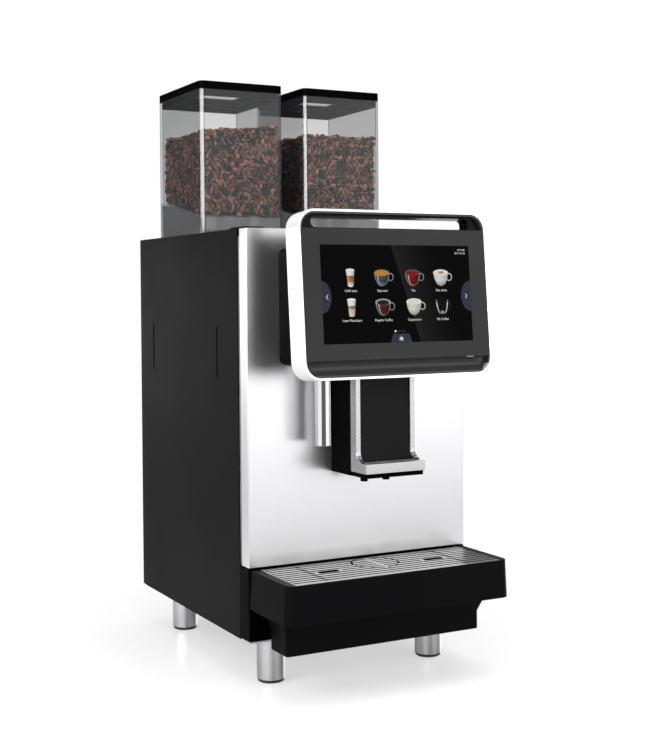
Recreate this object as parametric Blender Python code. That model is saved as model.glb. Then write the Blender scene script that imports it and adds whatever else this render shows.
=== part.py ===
"""Countertop bean-to-cup coffee machine with two bean hoppers, a touch screen on a hinged front door, a
height-adjustable coffee outlet and a drip tray.

Metres, +Z up, +Y to the rear. The origin is on the floor, in the middle of the machine's width and depth.
Every piece is one closed body. Pieces that move hang on an empty that stands on their joint's axis."""

import math

import bmesh
import bpy
from mathutils import Matrix, Vector

for old in list(bpy.data.objects):
    bpy.data.objects.remove(old, do_unlink=True)

# ---------------------------------------------------------------- overall sizes
BODY_WIDTH = 0.340
BODY_DEPTH = 0.419  # face of the door to the rear flanges
BODY_TOP = 0.6114
UNDERSIDE = 0.0615
TRAY_REACH = 0.115  # drip tray, in front of the door's face
SHEET = 0.0015  # body panels
FIT = 0.0003  # gap between pieces that rest on or run in each other
REAR_CORNER = 0.006  # bend of the side panels into the rear
REAR_STRIP = 0.028  # in front of the bend, the side panels turn in a little
REAR_TURN_IN = 0.0012
REAR_FLANGE = 0.052  # a side panel's flange on the rear face reaches this far in
GRIPS = ((0.0795, 0.024), (0.322, 0.033))  # pressed hand grips: behind the door's face, and width
GRIP_BOTTOM = 0.407
GRIP_TOP = 0.480
GRIP_CORNER = 0.006
GRIP_DEPTH = 0.0008
WINDOW_HALF = 0.130  # opening in the frame behind the door
WINDOW_BOTTOM = 0.200
WINDOW_TOP = 0.560
WINDOW_CORNER = 0.012
LOUVRE_HALF = 0.032
LOUVRE_HEIGHT = 0.004
LOUVRE_PITCH = 0.010
LOUVRE_ROWS = 7

HALF_WIDTH = BODY_WIDTH / 2
REAR_Y = (BODY_DEPTH + TRAY_REACH) / 2
FACE_Y = REAR_Y - BODY_DEPTH
INSIDE_X = HALF_WIDTH - SHEET - FIT  # what fits between the side panels

# ---------------------------------------------------------------- door and fascia
DOOR_DEPTH = 0.0275
DOOR_SEAM = 0.002  # behind the door, so that its rounded hinge edge can turn
DOOR_SKIN = 0.0025
DOOR_END_WALL = 0.004
HINGE_INSET = 0.007  # pivot to the door's left side and to its back
HINGE_POST = 0.015
HINGE_PIN = 0.003
FASCIA_TOP = 0.160
FASCIA_WALL = 0.003
HINGE_PLATE_LOW = 0.001
HINGE_PLATE_TOP = 0.002
DOOR_BACK_Y = FACE_Y + DOOR_DEPTH
SIDE_FRONT_Y = DOOR_BACK_Y + DOOR_SEAM
DOOR_BOTTOM = FASCIA_TOP + FIT + HINGE_PLATE_LOW + FIT
HINGE_X = -HALF_WIDTH + HINGE_INSET
HINGE_Y = DOOR_BACK_Y - HINGE_INSET

# ---------------------------------------------------------------- feet
FOOT_X = HALF_WIDTH - 0.0445
FOOT_RADIUS = 0.019
FOOT_FRONT_Y = FACE_Y + 0.029
FOOT_REAR_Y = REAR_Y - 0.075
PAD_RADIUS = 0.018
PAD_HEIGHT = 0.004
PAD_STEM = 0.006
PAD_STEM_TOP = 0.012
FOOT_STUD = 0.004

# ---------------------------------------------------------------- drip tray and grids
TRAY_TOP = 0.159
TRAY_UNDERSIDE = 0.108
TRAY_WALL = 0.003
TRAY_HALF_TOP = HALF_WIDTH - 0.0025
TRAY_HALF_FOOT = HALF_WIDTH - 0.0007  # the sides lean out a little towards the bottom
TRAY_LEAN = 0.0008  # the same at the front
TRAY_CORNER = 0.014
SUMP_BOTTOM = 0.057
SUMP_HALF = HALF_WIDTH - 0.022
SUMP_FRONT = 0.048  # sump's front, behind the tray's front
SUMP_REAR_GAP = 0.020  # sump's rear, in front of the door's face
SUMP_CORNER = 0.004
SUMP_FLARE_X = 0.009
SUMP_FLARE_Y = 0.014
SUMP_FLARE_Z = 0.082
GRID_HALF = HALF_WIDTH - 0.015
GRID_THICK = 0.002
GRID_FRONT_RIM = 0.005
GRID_REAR_RIM = 0.004
GRID_LEDGE = 0.005
GRID_PITCH = 0.0105
GRID_SLOT = 0.0038
GRID_LAND_X = 0.69 * GRID_HALF  # plain land between the inner and the outer run of slots
GRID_LAND = 0.004
FINGER_X = 0.523 * GRID_HALF
FINGER_LENGTH = 0.028
FINGER_WIDTH = 0.006
RUNNER_WIDTH = 0.006
RUNNER_THICK = 0.003
RUNNER_LENGTH = 0.063

# ---------------------------------------------------------------- screen, in its own tilted frame
SCREEN_TILT = math.radians(4.7)  # leans back
SCREEN_CENTRE_Y = FACE_Y - 0.1057
SCREEN_CENTRE_Z = BODY_TOP - 0.0885
BAND_WIDTH = 0.2845
BAND_HEIGHT = 0.2184
BAND_DEPTH = 0.037
BAND_THICK = 0.003
BAND_CORNER = 0.024
LINER_THICK = 0.0022
LINER_FRONT = 0.001
GLASS_HEIGHT = 0.1696
GLASS_FRONT = 0.0005
GLASS_THICK = 0.003
HOUSING_FRONT = 0.008
HOUSING_BACK = 0.030
HOUSING_WALL = 0.0027
SLOT_HALF = 0.120  # see-through slot above the glass
SLOT_TOP_WALL = 0.0022
SLOT_CORNER = 0.006
SILL_BACK = 0.028
SILL_SCOOP = 0.011
DISPLAY_HALF_X = 0.1217
DISPLAY_HALF_Z = 0.0757

# ---------------------------------------------------------------- screen mount, coffee outlet, hot-water pipe
MOUNT_HALF = 0.1227
MOUNT_BOTTOM = SCREEN_CENTRE_Z - 0.0949
MOUNT_TOP = SCREEN_CENTRE_Z + 0.0621
MOUNT_WALL = 0.003
MOUNT_CORNER = 0.010
MOUNT_NOTCH_TOP = MOUNT_TOP - 0.045
HEAD_HALF = 0.0453
HEAD_CLEAR = 0.0037  # beside the head, in the mount's notch
HEAD_BOTTOM = 0.282
HEAD_TOP = MOUNT_BOTTOM + 0.022
HEAD_DEPTH = 0.0546
HEAD_WALL = 0.003
HEAD_GAP = 0.0008  # behind the head, off the door's face
RAIL_WIDTH = 0.007
RAIL_DEPTH = 0.0146
LEDGE_REACH = 0.0955
LEDGE_BOTTOM = 0.288
LEDGE_TOP = 0.301
TRIM_BEND = 0.012
BASE_REACH = 0.0925
BASE_HALF = 0.0437
COVER_DEPTH = 0.0121
COVER_FLARE = 0.0067
COVER_SWEEP = 0.030
GUIDE_HALF = 0.012
GUIDE_DEPTH = 0.0124
GUIDE_BOTTOM = 0.320
GUIDE_TOP = MOUNT_TOP - 0.055
SPOUT_X = 0.017
SPOUT_RADIUS = 0.005
SPOUT_BORE = 0.0035
SPOUT_DROP = 0.011
SPOUT_FROM_FACE = 0.040
PIPE_X = -0.0785
PIPE_FROM_FACE = 0.040
PIPE_RADIUS = 0.01235
PIPE_BOTTOM = 0.323
PIPE_TOP = MOUNT_TOP - 0.025

# ---------------------------------------------------------------- hoppers
HOPPER_WIDTH = 0.131
HOPPER_DEPTH = 0.166
HOPPER_FROM_FACE = 0.159
HOPPER_SPACING = 0.165
HOPPER_LEFT_X = HOPPER_WIDTH / 2 - HALF_WIDTH + 0.0023
HOPPER_RIGHT_X = HOPPER_LEFT_X + HOPPER_SPACING
HOPPER_WALL = 0.003
HOPPER_CORNER = 0.006
HOPPER_RIM = BODY_TOP + 0.2066
HOPPER_FLOOR_FRONT = BODY_TOP + 0.0251
HOPPER_FLOOR_REAR = BODY_TOP + 0.0526
HOPPER_FLOOR = 0.003
LID_HEIGHT = 0.011
LID_LIP = 0.010
LID_LIP_THICK = 0.002
LID_FRAME = 0.016
LID_WINDOW = 0.0025
LID_WINDOW_SEAT = 0.003
BEANS_TOP = HOPPER_RIM - 0.047
THROAT_RADIUS = 0.026
THROAT_BORE = 0.022
THROAT_BOTTOM = BODY_TOP - 0.0154
THROAT_FROM_FRONT = 0.035

# ---------------------------------------------------------------- inside
TOP_SHEET = 0.002
TOP_FLANGE = 0.010
DECK_Z = BODY_TOP - 0.1434
DECK_THICK = 0.002
DECK_FRONT_Y = FACE_Y + 0.144
DECK_REAR_Y = REAR_Y - 0.035
BASE_FLOOR = 0.002
BASE_WALL = 0.0185
GRINDER_RADIUS = 0.042
GRINDER_TOP = BODY_TOP - 0.0054
GRINDER_MOUTH = 0.0265
BURR_CHAMBER = 0.034
BURR_RADIUS = 0.030
BURR_FLOOR = GRINDER_TOP - 0.058
BURR_SHAFT = 0.005
BREW_BORE = 0.028
BREW_FLOOR = 0.255
BREW_TOP = 0.400
BREW_Y = FACE_Y + 0.090
BREW_HALF = 0.045
BREW_PLATE_HALF = 0.060
BREW_PLATE_BEHIND = 0.048  # plate's front, behind the bore's centre
BREW_SLOT_HALF = 0.018
PISTON_TOP = 0.438
BOILER_X = 0.095
BOILER_Y = REAR_Y - 0.102
BOILER_RADIUS = 0.055
BOILER_FOOT = 0.040
BOILER_SHOULDER = 0.330
BOILER_TOP = 0.356
PUMP_X = -0.095
PUMP_Y = REAR_Y - 0.1145
PUMP_RADIUS = 0.022
GROUNDS_HALF = 0.066
GROUNDS_TOP = 0.215
BOARD_FRONT = FACE_Y + 0.172
BOARD_BOTTOM = 0.250
BOARD_WIDTH = 0.120
BOARD_HEIGHT = 0.150
BOARD_OFF = 0.008  # off the side panel
FAN_X = -0.060
FAN_Z = BODY_TOP - 0.0714
FAN_HALF = 0.040
FAN_DEPTH = 0.025
FAN_BORE = 0.037
FAN_HUB = 0.015
FAN_AXLE = 0.002
FAN_BLADES = 7
FAN_PITCH = 40
RECESS_HALF = 0.095
RECESS_BOTTOM = 0.085
RECESS_TOP = 0.185
RECESS_DEPTH = 0.030
RECESS_WALL = 0.002
MODULE_X = 0.060  # mains inlet with its switch
MODULE_BOTTOM = 0.095
MODULE_TOP = 0.170
MODULE_HALF = 0.020
MODULE_DEPTH = 0.0195
SOCKET_HALF = 0.014
SOCKET_BOTTOM = 0.136
SOCKET_TOP = 0.161
SOCKET_DEPTH = 0.014
ROCKER_Z = 0.115
ROCKER_PIN = 0.0015
ROCKER_HALF = 0.0125
ROCKER_REACH = 0.0095
SPIGOTS = (("water_inlet", -0.055, 0.140, 0.012, 0.022), ("drain_outlet", 0.0, 0.115, 0.010, 0.024))

ROUND_SIDES = 24
CORNER_STEPS = 6


# ---------------------------------------------------------------- shapes
def finish(name, colour, roughness, metallic=0.0, alpha=1.0):
    """A material with one Principled shader."""
    material = bpy.data.materials.new(name)
    material.use_nodes = True
    shader = material.node_tree.nodes["Principled BSDF"]
    shader.inputs["Base Color"].default_value = (*colour, 1.0)
    shader.inputs["Roughness"].default_value = roughness
    shader.inputs["Metallic"].default_value = metallic
    shader.inputs["Alpha"].default_value = alpha
    return material


def arc(centre, radius, start, end, steps):
    """Points round an arc, with angles in degrees."""
    angles = (math.radians(start + (end - start) * i / steps) for i in range(steps + 1))
    return [(centre[0] + radius * math.cos(a), centre[1] + radius * math.sin(a)) for a in angles]


def rounded(low, high, radii, steps=CORNER_STEPS):
    """A rectangle's outline, anticlockwise from its low corner, with a radius for each corner."""
    radii = radii if isinstance(radii, tuple) else (radii,) * 4
    corners = ((low[0], low[1]), (high[0], low[1]), (high[0], high[1]), (low[0], high[1]))
    inward = ((1, 1), (-1, 1), (-1, -1), (1, -1))
    points = []
    for i, (corner, way, radius) in enumerate(zip(corners, inward, radii)):
        if radius <= 0:
            points.append(corner)
            continue
        centre = (corner[0] + way[0] * radius, corner[1] + way[1] * radius)
        points += arc(centre, radius, 180 + 90 * i, 270 + 90 * i, steps)
    return points


def circle(centre, radius, sides=ROUND_SIDES):
    return arc(centre, radius, 0, 360 - 360 / sides, sides - 1)


def along(axis, point, height):
    """A point of an outline, set at a height along the axis that the outline faces."""
    a, b = point
    return {"X": (height, a, b), "Y": (a, height, b), "Z": (a, b, height)}[axis]


def closed(mesh):
    bmesh.ops.recalc_face_normals(mesh, faces=mesh.faces)
    return mesh


def loft(*sections):
    """A solid through sections with equal numbers of points, capped at both ends."""
    mesh = bmesh.new()
    rings = [[mesh.verts.new(p) for p in section] for section in sections]
    for low, high in zip(rings, rings[1:]):
        for i in range(len(low)):
            j = (i + 1) % len(low)
            mesh.faces.new((low[i], low[j], high[j], high[i]))
    mesh.faces.new(rings[0])
    mesh.faces.new(rings[-1])
    return closed(mesh)


def prism(outline, axis, low, high):
    """An outline carried from low to high, each a height or a rule that gives one for a point."""
    ends = [
        [along(axis, p, height(p) if callable(height) else height) for p in outline]
        for height in (low, high)
    ]
    return loft(*ends)


def ring(outer, inner, axis, low, high):
    """A tube between two outlines with equal numbers of points."""
    mesh = bmesh.new()
    loops = [
        [mesh.verts.new(along(axis, p, height)) for p in outline]
        for outline, height in ((outer, low), (outer, high), (inner, high), (inner, low))
    ]
    for near, far in zip(loops, loops[1:] + loops[:1]):
        for i in range(len(near)):
            j = (i + 1) % len(near)
            mesh.faces.new((near[i], near[j], far[j], far[i]))
    return closed(mesh)


def block(low, high):
    return prism(rounded(low[:2], high[:2], 0), "Z", low[2], high[2])


def turned(profile, centre, axis="Z", sides=ROUND_SIDES):
    """A solid of revolution: the profile is (radius, height) pairs round a closed section."""
    mesh = bmesh.new()
    verts = [mesh.verts.new((radius, 0, height)) for radius, height in profile]
    closing = [] if profile[0][0] == 0 and profile[-1][0] == 0 else [(verts[-1], verts[0])]
    edges = [mesh.edges.new(pair) for pair in [*zip(verts, verts[1:]), *closing]]
    bmesh.ops.spin(
        mesh, geom=verts + edges, axis=(0, 0, 1), cent=(0, 0, 0), angle=math.tau, steps=sides, use_merge=True
    )
    bmesh.ops.remove_doubles(mesh, verts=mesh.verts, dist=1e-6)
    turn = {
        "Z": Matrix(), "X": Matrix.Rotation(math.pi / 2, 4, "Y"), "Y": Matrix.Rotation(-math.pi / 2, 4, "X")
    }
    mesh.transform(Matrix.Translation(centre) @ turn[axis])
    return closed(mesh)


def together(*shapes):
    """One mesh that holds several closed shapes, for a cut or a join in one go."""
    mesh = bmesh.new()
    for shape in shapes:
        data = bpy.data.meshes.new("shape")
        shape.to_mesh(data)
        mesh.from_mesh(data)
        bpy.data.meshes.remove(data)
    return mesh


def piece(name, material, shape):
    data = bpy.data.meshes.new(name)
    shape.to_mesh(data)
    data.materials.append(material)
    item = bpy.data.objects.new(name, data)
    bpy.context.collection.objects.link(item)
    return item


def work(item, operation, *shapes):
    """Cuts shapes from a piece, or joins them to it, with a Boolean."""
    tool = piece(
        f"{item.name}_{operation.lower()}_{len(item.modifiers)}", item.data.materials[0], together(*shapes)
    )
    tool.hide_render = True
    tool.display_type = "WIRE"
    step = item.modifiers.new(operation.title(), "BOOLEAN")
    step.operation = operation
    step.solver = "EXACT"
    step.object = tool
    return item


def cut(item, *shapes):
    return work(item, "DIFFERENCE", *shapes)


def join(item, *shapes):
    return work(item, "UNION", *shapes)


def soft_edges(item, width, segments=2):
    """A small round on the piece's sharp edges."""
    bevel = item.modifiers.new("Bevel", "BEVEL")
    bevel.width = width
    bevel.segments = segments
    bevel.limit_method = "ANGLE"
    bevel.angle_limit = math.radians(50)
    return item


def smooth(item):
    item.data.shade_smooth()
    item.data.set_sharp_from_angle(angle=math.radians(40))
    return item


def pivot(name, place, rotation=(0, 0, 0)):
    """An empty on a joint's axis, or the frame of a tilted group."""
    empty = bpy.data.objects.new(name, None)
    empty.location = place
    empty.rotation_euler = rotation
    bpy.context.collection.objects.link(empty)
    return empty


def carry(empty, *items):
    """Parents pieces modelled in place to an empty and leaves them where they are. Their cutters go along."""
    for item in items:
        tools = [step.object for step in item.modifiers if step.type == "BOOLEAN"]
        for thing in (item, *tools):
            thing.parent = empty
            thing.matrix_parent_inverse = Matrix.Translation(-empty.location)


# ---------------------------------------------------------------- finishes
BLACK_STEEL = finish("black_steel", (0.021, 0.022, 0.023), 0.45, 0.3)
SATIN_SILVER = finish("satin_silver", (0.78, 0.78, 0.80), 0.35, 0.9)
BAND_SILVER = finish("band_silver", (0.88, 0.88, 0.89), 0.25, 0.9)
FOOT_STEEL = finish("foot_steel", (0.72, 0.72, 0.74), 0.3, 1.0)
CHROME = finish("chrome", (0.85, 0.85, 0.86), 0.06, 1.0)
GRID_STEEL = finish("grid_steel", (0.63, 0.63, 0.62), 0.28, 1.0)
BLACK_PLASTIC = finish("black_plastic", (0.012, 0.013, 0.015), 0.38)
GLOSS_BLACK = finish("gloss_black", (0.010, 0.010, 0.012), 0.12)
RUBBER = finish("rubber", (0.015, 0.015, 0.015), 0.8)
GLASS_BLACK = finish("screen_glass", (0.030, 0.030, 0.032), 0.05)
SMOKED = finish("smoked_plastic", (0.55, 0.56, 0.58), 0.08, 0.0, 0.3)
CLEAR = finish("clear_plastic", (0.75, 0.76, 0.78), 0.06, 0.0, 0.25)
BEAN = finish("roast_bean", (0.075, 0.030, 0.018), 0.5)
ZINC = finish("zinc_sheet", (0.55, 0.56, 0.57), 0.4, 0.9)
CAST = finish("cast_alloy", (0.45, 0.45, 0.46), 0.5, 0.9)
BURR_STEEL = finish("burr_steel", (0.50, 0.50, 0.52), 0.25, 1.0)
BRASS = finish("brass", (0.70, 0.52, 0.22), 0.3, 1.0)
BOARD_GREEN = finish("board_green", (0.02, 0.16, 0.06), 0.5)
GREY_PLASTIC = finish("grey_plastic", (0.25, 0.25, 0.26), 0.5)


# ---------------------------------------------------------------- chassis
def rear_front_face():
    """Y of the rear panel's inner face."""
    return REAR_Y - SHEET - FIT - SHEET


def plan(front, inset):
    """Outline of what fills the body between its side panels, round their rear bends."""
    half, rear = INSIDE_X - inset, rear_front_face() - FIT - inset
    turn = REAR_Y - REAR_STRIP
    bend = REAR_CORNER - SHEET - FIT
    x = half - REAR_TURN_IN - bend
    corners = arc((x, rear - bend), bend, 0, 90, 4) + arc((-x, rear - bend), bend, 90, 180, 4)
    return [(-half, front), (half, front), (half, turn), *corners, (-half, turn)]


def base_pan():
    """Floor plate under the whole machine, with walls behind the fascia and clearance holes for the feet."""
    low, top = UNDERSIDE + BASE_FLOOR, UNDERSIDE + BASE_WALL
    pan = piece("base_pan", ZINC, prism(plan(FACE_Y + FIT, 0), "Z", UNDERSIDE, top))
    cut(pan, prism(plan(FACE_Y - 0.01, BASE_FLOOR), "Z", low, top + 0.01))
    cut(pan, block((-HALF_WIDTH, FACE_Y - 0.01, low), (HALF_WIDTH, SIDE_FRONT_Y + SHEET + FIT, top + 0.01)))
    holes = [
        turned(
            [(0, -0.005), (FOOT_STUD + FIT, -0.005), (FOOT_STUD + FIT, 0.01), (0, 0.01)],
            (x, y, UNDERSIDE),
            sides=16,
        )
        for x in (-FOOT_X, FOOT_X)
        for y in (FOOT_FRONT_Y, FOOT_REAR_Y)
    ]
    return cut(pan, *holes)


def side_panel(name, side):
    """Sheet panel that turns in a little near the rear and bends round its corner, with two pressed grips."""
    outer, inner = [], []
    centre = (-HALF_WIDTH + REAR_TURN_IN + REAR_CORNER, REAR_Y - REAR_CORNER)
    for points, radius, inset in ((outer, REAR_CORNER, 0.0), (inner, REAR_CORNER - SHEET, SHEET)):
        points.append((-HALF_WIDTH + inset, SIDE_FRONT_Y))
        points.append((-HALF_WIDTH + inset, REAR_Y - REAR_STRIP))
        points += arc(centre, radius, 180, 90, 6)
        points.append((-HALF_WIDTH + REAR_FLANGE, REAR_Y - inset))
    outline = [(x * -side, y) for x, y in outer + inner[::-1]]
    panel = piece(name, BLACK_STEEL, prism(outline, "Z", UNDERSIDE, BODY_TOP))
    low, high = sorted((side * (HALF_WIDTH - GRIP_DEPTH), side * (HALF_WIDTH + 0.01)))
    grips = [
        prism(rounded((FACE_Y + y, GRIP_BOTTOM), (FACE_Y + y + width, GRIP_TOP), GRIP_CORNER), "X", low, high)
        for y, width in GRIPS
    ]
    return smooth(cut(panel, *grips))


def front_frame():
    """Sheet frame behind the door, with the window through which the brewing unit is reached."""
    y = SIDE_FRONT_Y
    low = UNDERSIDE + BASE_FLOOR + FIT
    top = BODY_TOP - TOP_FLANGE - FIT
    frame = piece("front_frame", ZINC, block((-INSIDE_X, y, low), (INSIDE_X, y + SHEET, top)))
    window = rounded((-WINDOW_HALF, WINDOW_BOTTOM), (WINDOW_HALF, WINDOW_TOP), WINDOW_CORNER)
    return cut(frame, prism(window, "Y", y - 0.01, y + 0.01))


def rear_panel():
    """Rear sheet behind the flanges, with cooling louvres and the opening over the connection recess."""
    front, back = rear_front_face(), rear_front_face() + SHEET
    half = HALF_WIDTH - REAR_STRIP
    panel = piece("rear_panel", BLACK_STEEL, block((-half, front, UNDERSIDE), (half, back, BODY_TOP)))
    wall = RECESS_WALL + 0.001
    window = rounded(
        (wall - RECESS_HALF, RECESS_BOTTOM + wall), (RECESS_HALF - wall, RECESS_TOP - wall), 0.004
    )
    cut(panel, prism(window, "Y", front - 0.01, back + 0.01))
    first = FAN_Z - LOUVRE_PITCH * (LOUVRE_ROWS - 1) / 2
    slots = []
    for x in (FAN_X, -FAN_X):
        for row in range(LOUVRE_ROWS):
            z = first + LOUVRE_PITCH * row
            outline = rounded(
                (x - LOUVRE_HALF, z), (x + LOUVRE_HALF, z + LOUVRE_HEIGHT), LOUVRE_HEIGHT / 2 - FIT / 3, 2
            )
            slots.append(prism(outline, "Y", front - 0.01, back + 0.01))
    return cut(panel, *slots)


def top_cover():
    """Top sheet with turned-down flanges and a round opening under each hopper."""
    low = BODY_TOP - TOP_FLANGE
    cover = piece("top_cover", BLACK_STEEL, prism(plan(SIDE_FRONT_Y, 0), "Z", low, BODY_TOP))
    cut(cover, prism(plan(SIDE_FRONT_Y + TOP_SHEET, TOP_SHEET), "Z", low - 0.01, BODY_TOP - TOP_SHEET))
    holes = [
        prism(circle((x, throat_y()), THROAT_RADIUS + 0.001), "Z", BODY_TOP - 0.005, BODY_TOP + 0.005)
        for x in (HOPPER_LEFT_X, HOPPER_RIGHT_X)
    ]
    return cut(cover, *holes)


def lower_fascia():
    """Black apron under the door, open at its back and at its foot."""
    low = UNDERSIDE + BASE_FLOOR + FIT
    apron = piece(
        "lower_fascia",
        BLACK_PLASTIC,
        block((-HALF_WIDTH, FACE_Y, low), (HALF_WIDTH, SIDE_FRONT_Y - FIT, FASCIA_TOP)),
    )
    wall = FASCIA_WALL
    inside = HALF_WIDTH - wall
    return cut(
        apron, block((-inside, FACE_Y + wall, low - 0.01), (inside, SIDE_FRONT_Y + 0.01, FASCIA_TOP - wall))
    )


def foot(name, x, y):
    """Turned foot tube, threaded into the base pan, with a socket for its rubber pad."""
    low, top = PAD_HEIGHT + FIT, UNDERSIDE - FIT
    socket = PAD_STEM + FIT
    profile = [
        (0, PAD_STEM_TOP + FIT), (socket, PAD_STEM_TOP + FIT), (socket, low), (FOOT_RADIUS, low),
        (FOOT_RADIUS, top), (FOOT_STUD, top), (FOOT_STUD, UNDERSIDE + BASE_FLOOR), (
            0, UNDERSIDE + BASE_FLOOR
        ),
    ]
    return smooth(piece(name, FOOT_STEEL, turned(profile, (x, y, 0))))


def foot_pad(name, x, y):
    profile = [
        (0, 0), (PAD_RADIUS, 0), (PAD_RADIUS, PAD_HEIGHT), (PAD_STEM, PAD_HEIGHT), (PAD_STEM, PAD_STEM_TOP),
        (0, PAD_STEM_TOP),
    ]
    return smooth(piece(name, RUBBER, turned(profile, (x, y, 0))))


def tray_runner():
    """U-shaped bracket on the fascia whose two arms carry the drip tray."""
    top = TRAY_UNDERSIDE - FIT
    outer = SUMP_HALF + SUMP_FLARE_X + 0.002 + RUNNER_WIDTH
    inner = outer - RUNNER_WIDTH
    root, tip = FACE_Y - FIT, FACE_Y - FIT - RUNNER_LENGTH
    bridge = root - 0.004
    outline = [
        (-outer, tip), (-inner, tip), (-inner, bridge), (inner, bridge), (inner, tip), (outer, tip), (
            outer, root
        ),
        (-outer, root),
    ]
    return piece("tray_runner", BLACK_STEEL, prism(outline, "Z", top - RUNNER_THICK, top))


def hinge_bracket(name, plate_low, plate_top, rear, pin_low, pin_top):
    """Plate with a pin on the door's axis."""
    front = HINGE_Y - 0.0125
    plate = piece(
        name, BLACK_STEEL, block((-HALF_WIDTH + 0.002, front, plate_low), (HINGE_X + 0.023, rear, plate_top))
    )
    middle = (plate_low + plate_top) / 2
    low, top = min(pin_low, middle), max(pin_top, middle)
    return join(plate, prism(circle((HINGE_X, HINGE_Y), HINGE_PIN, 16), "Z", low, top))


# ---------------------------------------------------------------- door group
def front_door():
    """Hollow door shell, open at its back. Its hinge edge is rounded about the pins."""
    left, right = -HALF_WIDTH, HALF_WIDTH
    outline = rounded((left, FACE_Y), (right, DOOR_BACK_Y), (0.0012, 0.0012, 0, HINGE_INSET))
    door = piece("front_door", SATIN_SILVER, prism(outline, "Z", DOOR_BOTTOM, BODY_TOP))
    hollow = block(
        (left + HINGE_POST, FACE_Y + DOOR_SKIN, DOOR_BOTTOM + DOOR_END_WALL),
        (right - DOOR_SKIN, DOOR_BACK_Y + 0.01, BODY_TOP - DOOR_END_WALL),
    )
    cut(door, hollow)
    bore = circle((HINGE_X, HINGE_Y), HINGE_PIN + FIT, 16)
    deep = DOOR_END_WALL + 0.002
    return cut(
        door,
        prism(bore, "Z", DOOR_BOTTOM - 0.01, DOOR_BOTTOM + deep),
        prism(bore, "Z", BODY_TOP - deep, BODY_TOP + 0.01),
    )


def tilted_y(z, depth):
    """Y of the plane that lies at a depth behind the screen's front, at a height z."""
    up = (z - SCREEN_CENTRE_Z + depth * math.sin(SCREEN_TILT)) / math.cos(SCREEN_TILT)
    return SCREEN_CENTRE_Y + up * math.sin(SCREEN_TILT) + depth * math.cos(SCREEN_TILT)


def screen_mount_box():
    """Black box between door and screen, with a notch for the outlet and a hole for the pipe."""
    back = FACE_Y - FIT
    wall = MOUNT_WALL
    outline = rounded((-MOUNT_HALF, MOUNT_BOTTOM), (MOUNT_HALF, MOUNT_TOP), MOUNT_CORNER)
    inner = rounded(
        (wall - MOUNT_HALF, MOUNT_BOTTOM + wall), (MOUNT_HALF - wall, MOUNT_TOP - wall), MOUNT_CORNER - wall
    )
    box = piece(
        "screen_mount_box", BLACK_PLASTIC, prism(
            outline, "Y", lambda p: tilted_y(p[1], HOUSING_BACK + FIT), back
        )
    )
    cut(box, prism(inner, "Y", FACE_Y - 0.15, back - wall))
    notch = HEAD_HALF + HEAD_CLEAR
    pipe = circle((PIPE_X, FACE_Y - PIPE_FROM_FACE), PIPE_RADIUS + FIT)
    cut(
        box,
        block(
            (-notch, FACE_Y - 0.15, MOUNT_BOTTOM - 0.01), (notch, back + 0.01, MOUNT_BOTTOM + wall + 0.002)
        ),
        prism(pipe, "Z", MOUNT_BOTTOM - 0.01, MOUNT_BOTTOM + 0.01),
    )
    return cut(
        box, block((-notch, back - wall - 0.001, MOUNT_BOTTOM - 0.01), (notch, back + 0.01, MOUNT_NOTCH_TOP))
    )


def band_outline(inset, top_cut=0.0):
    """The band's rounded outline, drawn in by an inset."""
    x, z = BAND_WIDTH / 2 - inset, BAND_HEIGHT / 2 - inset
    return rounded((-x, -z), (x, z - top_cut), BAND_CORNER - inset)


def screen_band():
    band = piece(
        "screen_band", BAND_SILVER, ring(band_outline(0), band_outline(BAND_THICK), "Y", 0, BAND_DEPTH)
    )
    return smooth(soft_edges(band, 0.0006, 1))


def screen_liner():
    """Black moulding inside the band: a thin ring, and under the glass a scooped sill."""
    outside = BAND_THICK + FIT
    inside = outside + LINER_THICK
    liner = piece(
        "screen_liner",
        GLOSS_BLACK,
        ring(band_outline(outside), band_outline(inside), "Y", LINER_FRONT, BAND_DEPTH - FIT),
    )
    half, foot_z = BAND_WIDTH / 2 - outside, BAND_HEIGHT / 2 - outside
    glass_edge = GLASS_HEIGHT / 2 + FIT
    embed = 0.001
    low = rounded(
        (embed - half, embed - foot_z), (half - embed, -glass_edge), (BAND_CORNER - outside - embed,) * 2 + (
            0, 0
        )
    )
    join(liner, prism(low, "Y", LINER_FRONT + 0.0005, SILL_BACK))
    x = half - LINER_THICK
    bottom, top = LINER_THICK - foot_z + 0.0005, -glass_edge + 0.001
    middle = (bottom + top) / 2
    reach = (top - bottom) / 2
    scoop = [(-0.002, bottom), (LINER_FRONT, bottom)]
    scoop += [
        (LINER_FRONT + SILL_SCOOP * math.sin(math.pi * t), middle - reach * math.cos(math.pi * t))
        for t in (0.1, 0.25, 0.4, 0.55, 0.7, 0.8)
    ]
    scoop += [(LINER_FRONT + GLASS_THICK, top), (-0.002, top)]
    cut(liner, prism(scoop, "X", -x, x))
    seat = GLASS_FRONT + GLASS_THICK + FIT
    return smooth(cut(liner, block((-BAND_WIDTH, -0.01, -glass_edge), (BAND_WIDTH, seat, glass_edge))))


def screen_glass():
    x = BAND_WIDTH / 2 - BAND_THICK - FIT
    z = GLASS_HEIGHT / 2
    return piece("screen_glass", GLASS_BLACK, block((-x, GLASS_FRONT, -z), (x, GLASS_FRONT + GLASS_THICK, z)))


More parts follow.
